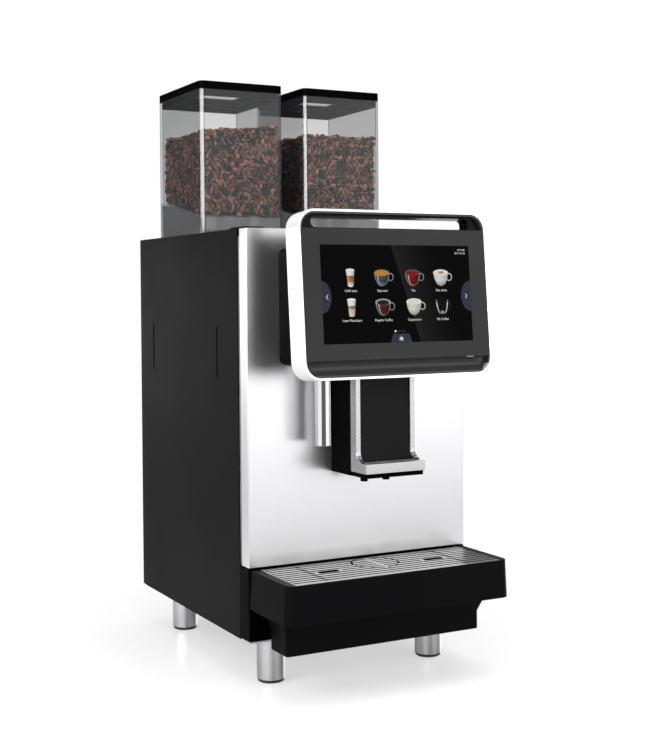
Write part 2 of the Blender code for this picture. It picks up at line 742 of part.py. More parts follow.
def screen_rear_housing():
    """Back of the screen: a pocket for the display, and above the glass the see-through slot."""
    clear = BAND_THICK + FIT + LINER_THICK + FIT
    x, top = BAND_WIDTH / 2 - clear, BAND_HEIGHT / 2 - clear
    corner = BAND_CORNER - clear
    outline = rounded((-x, 0.001 - GLASS_HEIGHT / 2), (x, top), (0, 0, corner, corner))
    housing = piece("screen_rear_housing", BLACK_PLASTIC, prism(outline, "Y", HOUSING_FRONT, HOUSING_BACK))
    px, pz = DISPLAY_HALF_X + FIT, DISPLAY_HALF_Z + FIT
    slot_low = GLASS_HEIGHT / 2 + 0.0017
    slot = rounded((-SLOT_HALF, slot_low), (SLOT_HALF, top - SLOT_TOP_WALL), SLOT_CORNER)
    return cut(
        housing,
        block((-px, 0, -pz), (px, HOUSING_BACK - HOUSING_WALL, pz)),
        prism(slot, "Y", -0.01, HOUSING_BACK + 0.01),
    )


def display_module():
    front, back = GLASS_FRONT + GLASS_THICK + FIT, HOUSING_BACK - HOUSING_WALL - FIT
    low, high = (-DISPLAY_HALF_X, front, -DISPLAY_HALF_Z), (DISPLAY_HALF_X, back, DISPLAY_HALF_Z)
    return piece("display_module", GREY_PLASTIC, block(low, high))


def hot_water_pipe():
    """Chromed pipe that hangs through the floor of the screen mount."""
    lip = 0.003
    profile = [
        (0, PIPE_BOTTOM + lip), (PIPE_RADIUS - 0.003, PIPE_BOTTOM + lip), (PIPE_RADIUS - 0.003, PIPE_BOTTOM),
        (PIPE_RADIUS, PIPE_BOTTOM), (PIPE_RADIUS, PIPE_TOP), (0, PIPE_TOP),
    ]
    return smooth(piece("hot_water_pipe", CHROME, turned(profile, (PIPE_X, FACE_Y - PIPE_FROM_FACE, 0))))


def outlet_guide():
    """Upright bar on the door that the coffee outlet slides on."""
    back = FACE_Y - FIT
    low, high = (-GUIDE_HALF, back - GUIDE_DEPTH, GUIDE_BOTTOM), (GUIDE_HALF, back, GUIDE_TOP)
    return piece("outlet_guide", CAST, block(low, high))


# ---------------------------------------------------------------- coffee outlet
def head_front():
    return FACE_Y - HEAD_DEPTH


def outlet_shell():
    """Black body of the outlet: a channel that grips the guide, and a foot that reaches forward."""
    front, back = head_front(), FACE_Y - HEAD_GAP
    web = FACE_Y - FIT - GUIDE_DEPTH - FIT
    wall = HEAD_WALL
    shell = piece(
        "outlet_shell", BLACK_PLASTIC, block((-HEAD_HALF, front, HEAD_BOTTOM), (HEAD_HALF, back, HEAD_TOP))
    )
    join(shell, block(
        (-BASE_HALF, FACE_Y - BASE_REACH, HEAD_BOTTOM), (BASE_HALF, front + 0.005, LEDGE_BOTTOM - FIT)
    ))
    groove = GUIDE_HALF + FIT
    pocket_low = HEAD_BOTTOM + wall
    hollow = block(
        (wall - HEAD_HALF, front + wall, pocket_low), (HEAD_HALF - wall, web - wall, HEAD_TOP + 0.01)
    )
    slide = block((-groove, web, HEAD_BOTTOM - 0.01), (groove, back + 0.01, HEAD_TOP + 0.01))
    sides = [
        block((min(a, b), web, pocket_low), (max(a, b), back + 0.01, HEAD_TOP + 0.01))
        for a, b in ((groove + wall, HEAD_HALF - wall), (-groove - wall, wall - HEAD_HALF))
    ]
    cut(shell, hollow, slide, *sides)
    for x in (-SPOUT_X, SPOUT_X):
        hole = circle((x, spout_y()), SPOUT_RADIUS + FIT, 16)
        cut(shell, prism(hole, "Z", HEAD_BOTTOM - 0.01, pocket_low + 0.01))
    return shell


def spout_y():
    return FACE_Y - SPOUT_FROM_FACE


def outlet_trim():
    """Silver trim: two upright rails that run out into a ledge at the bottom."""
    back = head_front() - FIT
    rail = back - RAIL_DEPTH
    nose = FACE_Y - LEDGE_REACH
    bend = arc((rail - TRIM_BEND, LEDGE_TOP + TRIM_BEND + 0.002), TRIM_BEND, 0, -90, 5)
    profile = [(back, LEDGE_BOTTOM), (nose, LEDGE_BOTTOM), (nose, LEDGE_TOP), (rail - TRIM_BEND, LEDGE_TOP)]
    profile += bend[::-1][1:]
    profile += [(rail, HEAD_TOP), (back, HEAD_TOP)]
    trim = piece("outlet_trim", BAND_SILVER, prism(profile, "X", -HEAD_HALF, HEAD_HALF))
    x = HEAD_HALF - RAIL_WIDTH
    well = back - COVER_DEPTH - COVER_FLARE
    over = LEDGE_TOP + FIT / 2
    opening = [
        (well, LEDGE_BOTTOM - 0.01), (back + 0.01, LEDGE_BOTTOM - 0.01), (back + 0.01, HEAD_TOP + 0.01),
        (nose - 0.01, HEAD_TOP + 0.01), (nose - 0.01, over), (well, over),
    ]
    return cut(trim, prism(opening, "X", -x, x))


def outlet_front_cover():
    """Black cover between the rails. Its foot sweeps forward onto the ledge."""
    back = head_front() - FIT
    face = back - COVER_DEPTH
    toe = face - COVER_FLARE + 2 * FIT
    low = LEDGE_TOP + FIT
    sweep = []
    for degrees in range(0, 91, 15):
        a = math.radians(degrees)
        sweep.append((toe + (face - toe) * math.sin(a), low + COVER_SWEEP * (1 - math.cos(a))))
    profile = [(back, low), *sweep, (face, HEAD_TOP), (back, HEAD_TOP)]
    x = HEAD_HALF - RAIL_WIDTH - FIT
    return smooth(piece("outlet_front_cover", GLOSS_BLACK, prism(profile, "X", -x, x)))


def spout_pair():
    """Twin spouts that hang through the outlet's floor from a common bridge."""
    low, seat = HEAD_BOTTOM - SPOUT_DROP, HEAD_BOTTOM + HEAD_WALL + FIT
    round_it = 0.008
    x, y = SPOUT_X + round_it, spout_y()
    pair = piece(
        "spout_pair", BLACK_PLASTIC, block((-x, y - round_it, seat), (x, y + round_it, seat + 0.006))
    )
    for centre in ((-SPOUT_X, y), (SPOUT_X, y)):
        join(pair, prism(circle(centre, SPOUT_RADIUS, 16), "Z", low, seat + 0.003))
        cut(pair, prism(circle(centre, SPOUT_BORE, 12), "Z", low - 0.01, low + 0.003))
    return pair


# ---------------------------------------------------------------- drip tray
def drip_tray():
    """Black tray with a ledge for the grids and a deeper sump below, flared into the tray's underside."""
    front, back = -REAR_Y, FACE_Y - FIT
    corner = (TRAY_CORNER, TRAY_CORNER, 0, 0)
    foot_line = rounded((-TRAY_HALF_FOOT, front), (TRAY_HALF_FOOT, back), corner)
    top_line = rounded((-TRAY_HALF_TOP, front + TRAY_LEAN), (TRAY_HALF_TOP, back), corner)
    tray = piece(
        "drip_tray",
        BLACK_PLASTIC,
        loft([(*p, TRAY_UNDERSIDE) for p in foot_line], [(*p, TRAY_TOP) for p in top_line]),
    )
    sump_front, sump_back = front + SUMP_FRONT, FACE_Y - SUMP_REAR_GAP
    corner = (SUMP_CORNER, SUMP_CORNER, 0, 0)
    small = rounded((-SUMP_HALF, sump_front), (SUMP_HALF, sump_back), corner)
    wide_half = SUMP_HALF + SUMP_FLARE_X
    corner = (2 * SUMP_CORNER, 2 * SUMP_CORNER, 0, 0)
    wide = rounded((-wide_half, sump_front - SUMP_FLARE_Y), (wide_half, sump_back), corner)
    sump = loft(
        [(*p, SUMP_BOTTOM) for p in small],
        [(*p, SUMP_FLARE_Z) for p in small],
        [(*p, TRAY_UNDERSIDE) for p in wide],
        [(*p, TRAY_UNDERSIDE + 0.001) for p in wide],
    )
    join(tray, sump)
    seat_front, seat_back = front + GRID_FRONT_RIM, FACE_Y - GRID_REAR_RIM
    reach = GRID_HALF + FIT
    seat = TRAY_TOP - GRID_THICK - FIT
    ledge = GRID_LEDGE
    wall = TRAY_WALL
    cut(tray, block((-reach, seat_front - FIT, seat), (reach, seat_back + FIT, TRAY_TOP + 0.01)))
    basin = rounded((ledge - reach, seat_front + ledge), (reach - ledge, seat_back - ledge), 0)
    cut(tray, prism(basin, "Z", TRAY_UNDERSIDE + wall, seat + 0.001))
    inside, mouth = SUMP_HALF - wall, reach - ledge
    low = rounded((-inside, sump_front + wall), (inside, sump_back - wall), 0)
    high = rounded((-mouth, sump_front + wall - SUMP_FLARE_Y), (mouth, sump_back - wall), 0)
    well = loft(
        [(*p, SUMP_BOTTOM + wall) for p in low],
        [(*p, SUMP_FLARE_Z) for p in low],
        [(*p, TRAY_UNDERSIDE) for p in high],
        [(*p, TRAY_UNDERSIDE + wall + 0.001) for p in high],
    )
    return cut(tray, well)


def drip_grid(name, side):
    """Half of the slotted stainless grid, with a finger slot to lift it by."""
    front, back = -REAR_Y + GRID_FRONT_RIM, FACE_Y - GRID_REAR_RIM
    top = TRAY_TOP
    near, far = FIT, GRID_HALF
    spans = [(near + 0.006, GRID_LAND_X - GRID_LAND / 2), (GRID_LAND_X + GRID_LAND / 2, far - 0.006)]
    low, high = sorted((side * near, side * far))
    plate = piece(name, GRID_STEEL, block((low, front, top - GRID_THICK), (high, back, top)))
    rows = int((back - front - 0.010) / GRID_PITCH)
    start = (front + back) / 2 - (rows - 1) * GRID_PITCH / 2
    finger_row = rows // 2
    slots = []
    for row in range(rows):
        y = start + row * GRID_PITCH
        for i, (a, b) in enumerate(spans):
            runs = [(a, b)]
            if row == finger_row and i == 0:
                gap = FINGER_LENGTH / 2 + 0.004
                runs = [(a, FINGER_X - gap), (FINGER_X + gap, b)]
            for run in runs:
                x0, x1 = sorted((side * run[0], side * run[1]))
                slots.append(block((x0, y - GRID_SLOT / 2, top - 0.01), (x1, y + GRID_SLOT / 2, top + 0.01)))
    y = start + finger_row * GRID_PITCH
    x = side * FINGER_X
    half = FINGER_LENGTH / 2
    slots.append(
        block((x - half, y - FINGER_WIDTH / 2, top - 0.01), (x + half, y + FINGER_WIDTH / 2, top + 0.01))
    )
    return cut(plate, *slots)


# ---------------------------------------------------------------- hoppers
def hopper_y():
    """Front and rear of both hoppers."""
    front = FACE_Y + HOPPER_FROM_FACE
    return front, front + HOPPER_DEPTH


def throat_y():
    return hopper_y()[0] + THROAT_FROM_FRONT


def floor_z(point):
    """Top of the hopper's sloping floor at a point."""
    front, rear = hopper_y()
    front, rear = front + HOPPER_WALL, rear - HOPPER_WALL
    share = (point[1] - front) / (rear - front)
    return HOPPER_FLOOR_FRONT + share * (HOPPER_FLOOR_REAR - HOPPER_FLOOR_FRONT)


def hopper_outline(x, inset):
    front, rear = hopper_y()
    half = HOPPER_WIDTH / 2 - inset
    return rounded((x - half, front + inset), (x + half, rear - inset), max(HOPPER_CORNER - inset, 0.002))


def hopper(name, x):
    """Smoked bean container with a sloping floor, a hollow foot and a throat down into the grinder."""
    low = BODY_TOP + FIT
    bin_ = piece(name, SMOKED, prism(hopper_outline(x, 0), "Z", low, HOPPER_RIM))
    inner = hopper_outline(x, HOPPER_WALL)
    cut(
        bin_,
        prism(inner, "Z", floor_z, HOPPER_RIM + 0.01),
        prism(inner, "Z", low - 0.01, lambda p: floor_z(p) - HOPPER_FLOOR),
    )
    centre = (x, throat_y())
    join(bin_, prism(
        circle(centre, THROAT_RADIUS), "Z", THROAT_BOTTOM, lambda p: floor_z(p) - HOPPER_FLOOR / 2
    ))
    return smooth(cut(bin_, prism(circle(centre, THROAT_BORE), "Z", THROAT_BOTTOM - 0.01, HOPPER_FLOOR_REAR)))


def beans(name, x):
    """Body of the beans in a hopper, a little higher on one side."""
    inset = HOPPER_WALL + FIT
    heap = prism(
        hopper_outline(x, inset), "Z", lambda p: floor_z(p) + FIT, lambda p: BEANS_TOP + 0.05 * (p[0] - x)
    )
    return piece(name, BEAN, heap)


def hopper_lid(name, x):
    """Black lid frame with a lip that drops into the hopper, and a seat for its window."""
    low = HOPPER_RIM + FIT
    top = low + LID_HEIGHT
    lid = piece(name, BLACK_PLASTIC, ring(hopper_outline(x, 0), hopper_outline(x, LID_FRAME), "Z", low, top))
    outer, inner = HOPPER_WALL + 2 * FIT, HOPPER_WALL + 2 * FIT + LID_LIP_THICK
    join(lid, ring(hopper_outline(x, outer), hopper_outline(x, inner), "Z", low - LID_LIP, low + 0.001))
    seat = hopper_outline(x, LID_FRAME - LID_WINDOW_SEAT)
    return smooth(cut(lid, prism(seat, "Z", top - LID_WINDOW - FIT, top + 0.01)))


def lid_window(name, x):
    top = HOPPER_RIM + FIT + LID_HEIGHT
    return piece(name, CLEAR, prism(
        hopper_outline(x, LID_FRAME - LID_WINDOW_SEAT + FIT), "Z", top - LID_WINDOW, top - FIT
    ))


# ---------------------------------------------------------------- works inside
def inner_deck():
    low, high = (-INSIDE_X, DECK_FRONT_Y, DECK_Z), (INSIDE_X, DECK_REAR_Y, DECK_Z + DECK_THICK)
    return piece("inner_deck", ZINC, block(low, high))


def grinder(name, x):
    """Grinder and motor casting on the deck. The hopper's throat drops into its mouth."""
    foot_z = DECK_Z + DECK_THICK + FIT
    bore = BURR_SHAFT + FIT
    profile = [
        (bore, foot_z), (GRINDER_RADIUS, foot_z), (GRINDER_RADIUS, GRINDER_TOP - 0.006),
        (GRINDER_RADIUS - 0.006, GRINDER_TOP), (GRINDER_MOUTH, GRINDER_TOP), (
            GRINDER_MOUTH, BURR_FLOOR + 0.042
        ),
        (BURR_CHAMBER, BURR_FLOOR + 0.038), (BURR_CHAMBER, BURR_FLOOR), (bore, BURR_FLOOR),
    ]
    return smooth(piece(name, CAST, turned(profile, (x, throat_y(), 0))))


def burr(name, x):
    """Conical burr on its shaft."""
    low = BURR_FLOOR + FIT
    profile = [
        (0, low - 0.028), (BURR_SHAFT, low - 0.028), (BURR_SHAFT, low), (BURR_RADIUS, low), (
            BURR_RADIUS, low + 0.008
        ),
        (0.012, low + 0.027), (0.006, low + 0.036), (0, low + 0.036),
    ]
    return piece(name, BURR_STEEL, turned(profile, (x, throat_y(), 0), sides=16))


def boiler():
    low = UNDERSIDE + BASE_FLOOR + FIT
    profile = [
        (0, low), (BOILER_FOOT, low), (BOILER_FOOT, low + 0.020), (BOILER_RADIUS, low + 0.036),
        (BOILER_RADIUS, BOILER_SHOULDER), (BOILER_RADIUS - 0.010, BOILER_TOP - 0.006), (0, BOILER_TOP),
    ]
    return smooth(piece("boiler", BURR_STEEL, turned(profile, (BOILER_X, BOILER_Y, 0))))


def water_pump():
    low = UNDERSIDE + BASE_FLOOR + FIT
    half, reach = PUMP_RADIUS + 0.008, 0.0425
    foot_low, foot_high = (PUMP_X - half, PUMP_Y - reach, low), (PUMP_X + half, PUMP_Y + reach, low + 0.032)
    pump = piece("water_pump", GREY_PLASTIC, block(foot_low, foot_high))
    motor = circle((PUMP_X, low + 0.040), PUMP_RADIUS, 20)
    return join(pump, prism(motor, "Y", PUMP_Y - reach - 0.010, PUMP_Y + reach + 0.010))


def brew_unit_frame():
    """Brewing cylinder on an upright plate that stands on the base pan."""
    low = UNDERSIDE + BASE_FLOOR + FIT
    front = BREW_Y + BREW_PLATE_BEHIND
    plate = block((-BREW_PLATE_HALF, front, low), (BREW_PLATE_HALF, front + 0.003, DECK_Z - FIT))
    frame = piece("brew_unit_frame", BLACK_PLASTIC, plate)
    x = BREW_HALF
    join(frame, block((-x, BREW_Y - BREW_BORE - 0.015, BREW_FLOOR - 0.020), (x, front + 0.001, BREW_TOP)))
    cut(frame, prism(circle((0, BREW_Y), BREW_BORE), "Z", BREW_FLOOR, BREW_TOP + 0.01))
    x = BREW_SLOT_HALF
    return cut(frame, block((-x, BREW_Y - 0.06, BREW_FLOOR + 0.015), (x, BREW_Y - 0.015, BREW_TOP - 0.010)))


def brew_piston():
    low = BREW_FLOOR + FIT
    radius = BREW_BORE - FIT
    profile = [
        (0, low), (radius, low), (radius, low + 0.020), (0.008, low + 0.024), (0.008, PISTON_TOP - 0.008),
        (0.012, PISTON_TOP - 0.006), (0.012, PISTON_TOP), (0, PISTON_TOP),
    ]
    return smooth(piece("brew_piston", BURR_STEEL, turned(profile, (0, BREW_Y, 0))))


def grounds_container():
    """Open bin for spent coffee, on the base pan behind the door."""
    low, wall = UNDERSIDE + BASE_FLOOR + FIT, 0.0025
    front, back = SIDE_FRONT_Y + SHEET + 0.005, BREW_Y + BREW_PLATE_BEHIND - 0.006
    x = GROUNDS_HALF
    bin_ = piece("grounds_container", GREY_PLASTIC, block((-x, front, low), (x, back, GROUNDS_TOP)))
    x = GROUNDS_HALF - wall
    return cut(bin_, block((-x, front + wall, low + wall), (x, back - wall, GROUNDS_TOP + 0.01)))


def control_board():
    """Circuit board on stand-offs from the left side panel."""
    x = -HALF_WIDTH + SHEET + FIT + BOARD_OFF
    thick, inset = 0.0016, 0.006
    front, back = BOARD_FRONT, BOARD_FRONT + BOARD_WIDTH
    low, top = BOARD_BOTTOM, BOARD_BOTTOM + BOARD_HEIGHT
    board = piece("control_board", BOARD_GREEN, block((x, front, low), (x + thick, back, top)))
    posts = [
        prism(circle((y, z), 0.003, 10), "X", x - BOARD_OFF, x + thick / 2)
        for y in (front + inset, back - inset)
        for z in (low + inset, top - inset)
    ]
    chips = [
        block((x + thick / 2, front + y, low + z), (x + thick + tall, front + y + wide, low + z + high))
        for y, z, wide, high, tall in (
            (0.020, 0.050, 0.030, 0.030, 0.003), (0.070, 0.020, 0.035, 0.020, 0.018), (
                0.065, 0.090, 0.040, 0.045, 0.012
            )
        )
    ]
    return join(board, *posts, *chips)


def fan_frame():
    """Cooling fan's square frame on the rear panel, with three arms to the hub."""
    back = rear_front_face() - FIT
    front = back - FAN_DEPTH
    low, high = (FAN_X - FAN_HALF, FAN_Z - FAN_HALF), (FAN_X + FAN_HALF, FAN_Z + FAN_HALF)
    frame = piece("fan_frame", BLACK_PLASTIC, prism(rounded(low, high, 0.004, 2), "Y", front, back))
    cut(frame, prism(circle((FAN_X, FAN_Z), FAN_BORE, 32), "Y", front - 0.01, back + 0.01))
    arms = []
    for turn in (90, 210, 330):
        arm = block((FAN_HUB - 0.002, back - 0.004, -0.003), (FAN_BORE + 0.001, back, 0.003))
        arm.transform(Matrix.Translation((FAN_X, 0, FAN_Z)) @ Matrix.Rotation(math.radians(turn), 4, "Y"))
        arms.append(arm)
    hub = ring(
        circle((FAN_X, FAN_Z), FAN_HUB), circle((FAN_X, FAN_Z), FAN_AXLE + FIT), "Y", back - 0.004, back
    )
    join(frame, hub)
    return join(frame, *arms)


def fan_rotor():
    back = rear_front_face() - FIT - 0.004 - FIT
    front = back - 0.018
    rotor = piece("fan_rotor", GREY_PLASTIC, prism(circle((FAN_X, FAN_Z), FAN_HUB), "Y", front, back))
    join(rotor, prism(circle((FAN_X, FAN_Z), FAN_AXLE, 12), "Y", back - 0.002, back + 0.004))
    blades = []
    for i in range(FAN_BLADES):
        blade = block((-0.0008, -0.007, FAN_HUB - 0.001), (0.0008, 0.007, FAN_BORE - 0.0015))
        blade.transform(
            Matrix.Translation((FAN_X, (front + back) / 2, FAN_Z))
            @ Matrix.Rotation(math.tau * i / FAN_BLADES, 4, "Y")
            @ Matrix.Rotation(math.radians(FAN_PITCH), 4, "Z")
        )
        blades.append(blade)
    return join(rotor, *blades)


# ---------------------------------------------------------------- rear connections
def recess_wall_y():
    """Rear face of the recess's inner wall."""
    return rear_front_face() - FIT - RECESS_DEPTH + RECESS_WALL


def service_recess():
    """Shallow box behind the rear panel's opening that carries the connections."""
    back = rear_front_face() - FIT
    wall = RECESS_WALL
    x, front = RECESS_HALF, back - RECESS_DEPTH
    box = piece("service_recess", ZINC, block((-x, front, RECESS_BOTTOM), (x, back, RECESS_TOP)))
    x = RECESS_HALF - wall
    return cut(box, block((-x, recess_wall_y(), RECESS_BOTTOM + wall), (x, back + 0.01, RECESS_TOP - wall)))


def power_inlet():
    """Mains inlet and switch housing in one moulding."""
    front = recess_wall_y() + FIT
    back = front + MODULE_DEPTH
    low, high = (MODULE_X - MODULE_HALF, MODULE_BOTTOM), (MODULE_X + MODULE_HALF, MODULE_TOP)
    module = piece("power_inlet", BLACK_PLASTIC, prism(rounded(low, high, 0.003, 2), "Y", front, back))
    socket = rounded((MODULE_X - SOCKET_HALF, SOCKET_BOTTOM), (MODULE_X + SOCKET_HALF, SOCKET_TOP), 0.003, 2)
    x, z = ROCKER_HALF + 0.0005, ROCKER_REACH + 0.0025
    well = block((MODULE_X - x, back - 0.012, ROCKER_Z - z), (MODULE_X + x, back + 0.01, ROCKER_Z + z))
    cut(module, prism(socket, "Y", back - SOCKET_DEPTH, back + 0.01), well)
    x = ROCKER_HALF + 0.0025
    holes = prism(circle((rocker_y(), ROCKER_Z), ROCKER_PIN + FIT, 12), "X", MODULE_X - x, MODULE_X + x)
    return cut(module, holes)


def rocker_y():
    return recess_wall_y() + FIT + MODULE_DEPTH - 0.008


def power_rocker():
    """Rocker of the mains switch, on a cross pin."""
    y, z = rocker_y(), ROCKER_Z
    reach, back = ROCKER_REACH, y + ROCKER_REACH
    outline = [
        (y - 0.0025, z - 0.003), (y - 0.0005, z - reach), (back, z - reach), (back - 0.0015, z),
        (back, z + reach), (y - 0.0005, z + reach), (y - 0.0025, z + 0.003),
    ]
    rocker = piece(
        "power_rocker", GREY_PLASTIC, prism(outline, "X", MODULE_X - ROCKER_HALF, MODULE_X + ROCKER_HALF)
    )
    x = ROCKER_HALF + 0.0022
    return join(rocker, prism(circle((y, z), ROCKER_PIN, 12), "X", MODULE_X - x, MODULE_X + x))


def hose_spigot(name, x, z, radius, length, material):
    """Turned connection with a collar, on the recess's wall."""
    front = recess_wall_y() + FIT
    bore = radius - 0.004
    profile = [
        (0, 0), (radius + 0.004, 0), (radius + 0.004, 0.004), (radius, 0.005), (radius, length), (
            bore, length
        ),
        (bore, length - 0.003), (0, length - 0.003),
    ]
    return smooth(piece(name, material, turned(profile, (x, front, z), "Y", 20)))


# ---------------------------------------------------------------- assembly
base_pan()
side_panel("left_side_panel", -1)
side_panel("right_side_panel", 1)
front_frame()
rear_panel()
top_cover()
lower_fascia()
for side_name, x in (("left", -FOOT_X), ("right", FOOT_X)):
    for end_name, y in (("front", FOOT_FRONT_Y), ("rear", FOOT_REAR_Y)):
        foot(f"foot_{end_name}_{side_name}", x, y)
        foot_pad(f"foot_pad_{end_name}_{side_name}", x, y)
tray_runner()
hinge_bracket(
    "hinge_bracket_upper", BODY_TOP + FIT, BODY_TOP + FIT + HINGE_PLATE_TOP, SIDE_FRONT_Y + 0.030,
    BODY_TOP - DOOR_END_WALL, 0,
)
hinge_bracket(
    "hinge_bracket_lower", FASCIA_TOP + FIT, FASCIA_TOP + FIT + HINGE_PLATE_LOW, DOOR_BACK_Y - 0.001,
    FASCIA_TOP + 1, DOOR_BOTTOM + DOOR_END_WALL,
)
inner_deck()
boiler()
water_pump()
brew_unit_frame()
grounds_container()
control_board()
fan_frame()
service_recess()
power_inlet()
for spigot, material in zip(SPIGOTS, (BRASS, GREY_PLASTIC)):
    hose_spigot(*spigot, material)

door_axis = pivot("door_axis", (HINGE_X, HINGE_Y, DOOR_BOTTOM))
door_parts = [front_door(), screen_mount_box(), hot_water_pipe(), outlet_guide()]
carry(door_axis, *door_parts)

screen_frame = pivot("screen_frame", (0, SCREEN_CENTRE_Y, SCREEN_CENTRE_Z), (-SCREEN_TILT, 0, 0))
for item in (screen_band(), screen_liner(), screen_glass(), screen_rear_housing(), display_module()):
    for thing in (item, *[step.object for step in item.modifiers if step.type == "BOOLEAN"]):
        thing.parent = screen_frame
carry(door_axis, screen_frame)

outlet_axis = pivot("outlet_axis", (0, head_front(), HEAD_BOTTOM))
carry(outlet_axis, outlet_shell(), outlet_trim(), outlet_front_cover(), spout_pair())
carry(door_axis, outlet_axis)

tray_axis = pivot("tray_axis", (0, FACE_Y, TRAY_UNDERSIDE))
carry(tray_axis, drip_tray())
for side_name, side in (("left", -1), ("right", 1)):
    grid_axis = pivot(f"grid_axis_{side_name}", (side * GRID_HALF / 2, (FACE_Y - REAR_Y) / 2, TRAY_TOP))
    carry(grid_axis, drip_grid(f"drip_grid_{side_name}", side))
    carry(tray_axis, grid_axis)

for side_name, x in (("left", HOPPER_LEFT_X), ("right", HOPPER_RIGHT_X)):
    hopper_axis = pivot(f"hopper_axis_{side_name}", (x, throat_y(), BODY_TOP))
    carry(hopper_axis, hopper(f"hopper_{side_name}", x), beans(f"beans_{side_name}", x))
    lid_axis = pivot(f"lid_axis_{side_name}", (x, throat_y(), HOPPER_RIM))
    carry(lid_axis, hopper_lid(f"hopper_lid_{side_name}", x), lid_window(f"lid_window_{side_name}", x))
    carry(hopper_axis, lid_axis)
    grinder(f"grinder_{side_name}", x)
    burr_axis = pivot(f"burr_axis_{side_name}", (x, throat_y(), BURR_FLOOR))
    carry(burr_axis, burr(f"burr_{side_name}", x))

piston_axis = pivot("piston_axis", (0, BREW_Y, BREW_FLOOR))
carry(piston_axis, brew_piston())
fan_axis = pivot("fan_axis", (FAN_X, rear_front_face() - FAN_DEPTH / 2, FAN_Z))
carry(fan_axis, fan_rotor())
rocker_axis = pivot("rocker_axis", (MODULE_X, rocker_y(), ROCKER_Z))
carry(rocker_axis, power_rocker())
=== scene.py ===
import math
import random

import bmesh
import bpy
import numpy as np
from mathutils import Matrix, Vector


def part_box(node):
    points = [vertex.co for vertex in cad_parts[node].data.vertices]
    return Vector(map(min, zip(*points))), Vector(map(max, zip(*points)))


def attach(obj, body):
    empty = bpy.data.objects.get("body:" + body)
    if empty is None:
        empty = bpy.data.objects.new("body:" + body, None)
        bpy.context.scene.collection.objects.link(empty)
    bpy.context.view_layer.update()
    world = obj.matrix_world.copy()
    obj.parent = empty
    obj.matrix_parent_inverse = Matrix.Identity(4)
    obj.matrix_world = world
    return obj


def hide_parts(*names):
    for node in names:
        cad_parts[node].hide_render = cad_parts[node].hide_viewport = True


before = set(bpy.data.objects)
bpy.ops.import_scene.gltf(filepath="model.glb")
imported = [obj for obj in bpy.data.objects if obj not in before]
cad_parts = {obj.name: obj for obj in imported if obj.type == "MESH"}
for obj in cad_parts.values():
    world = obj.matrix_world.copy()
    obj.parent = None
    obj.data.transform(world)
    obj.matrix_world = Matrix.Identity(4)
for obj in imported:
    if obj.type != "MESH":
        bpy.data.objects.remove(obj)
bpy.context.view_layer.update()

# ================================================================ feet
# Four turned aluminium tubes, bead-blasted and clear anodised, screwed up into the base.
# Each stands on a black rubber pad whose stem is pressed into the tube.
FOOT_EDGE = 0.0009
PAD_EDGE = 0.0006
PAD_STEM = 0.006
AROUND = 72
PAD_CHAMFER = (0.002, 0.0012)
STUD_RADIUS = 0.004
GAP = 0.0003
PAST = 0.01  # how far a cutter runs past the face it cuts


def new_group(name, inputs, outputs):
    """An empty node group with named sockets: the group, its input node and its output node."""
    group = bpy.data.node_groups.new(name, "ShaderNodeTree")
    for socket, kind, value in inputs:
        made = group.interface.new_socket(name=socket, in_out="INPUT", socket_type="NodeSocket" + kind)
        made.default_value = value
    for socket in outputs:
        group.interface.new_socket(name=socket, in_out="OUTPUT", socket_type="NodeSocketFloat")
    return group, group.nodes.new("NodeGroupInput"), group.nodes.new("NodeGroupOutput")


def spread(nodes, links, source, low, high, to_low=0.0, to_high=1.0):
    """The stretch from low to high of a value, brought to another range."""
    span = nodes.new("ShaderNodeMapRange")
    for socket, value in zip(("From Min", "From Max", "To Min", "To Max"), (low, high, to_low, to_high)):
        span.inputs[socket].default_value = value
    links.new(source, span.inputs["Value"])
    return span.outputs["Result"]


def make_surface_grain():
    """Fine grain, which can be drawn out along an axis, and slow patches. Both run from 0 to 1."""
    group, given, out = new_group(
        "surface_grain",
        [("Stretch", "Vector", (1, 1, 1)), ("Grain Scale", "Float", 900.0), ("Patch Scale", "Float", 8.0)],
        ["Grain", "Patch"],
    )
    nodes, links = group.nodes, group.links
    place = nodes.new("ShaderNodeTexCoord")
    drawn = nodes.new("ShaderNodeVectorMath")
    drawn.operation = "MULTIPLY"
    links.new(place.outputs["Object"], drawn.inputs[0])
    links.new(given.outputs["Stretch"], drawn.inputs[1])
    for socket, vector, detail in (
        ("Grain", drawn.outputs[0], 3.0), ("Patch", place.outputs["Object"], 2.0)
    ):
        noise = nodes.new("ShaderNodeTexNoise")
        noise.inputs["Detail"].default_value = detail
        links.new(vector, noise.inputs["Vector"])
        links.new(given.outputs[socket + " Scale"], noise.inputs["Scale"])
        links.new(spread(nodes, links, noise.outputs["Fac"], 0.3, 0.7), out.inputs[socket])
    return group


def make_handling_marks():
    """Faint wiped patches with a fine streak in them, from 0 where the surface is clean to 1."""
    group, given, out = new_group("handling_marks", [("Mark Scale", "Float", 18.0)], ["Mark"])
    nodes, links = group.nodes, group.links
    place = nodes.new("ShaderNodeTexCoord")
    parts = []
    for share, detail, distortion, low, high in ((1.0, 2.0, 1.2, 0.48, 0.72), (14.0, 3.0, 0.4, 0.25, 0.75)):
        scale = nodes.new("ShaderNodeMath")
        scale.operation = "MULTIPLY"
        scale.inputs[1].default_value = share
        links.new(given.outputs["Mark Scale"], scale.inputs[0])
        noise = nodes.new("ShaderNodeTexNoise")
        noise.inputs["Detail"].default_value = detail
        noise.inputs["Distortion"].default_value = distortion
        links.new(place.outputs["Object"], noise.inputs["Vector"])
        links.new(scale.outputs[0], noise.inputs["Scale"])
        parts.append(spread(nodes, links, noise.outputs["Fac"], low, high))
    both = nodes.new("ShaderNodeMath")
    both.operation = "MULTIPLY"
    for socket, part in zip(both.inputs, parts):
        links.new(part, socket)
    links.new(both.outputs[0], out.inputs["Mark"])
    return group


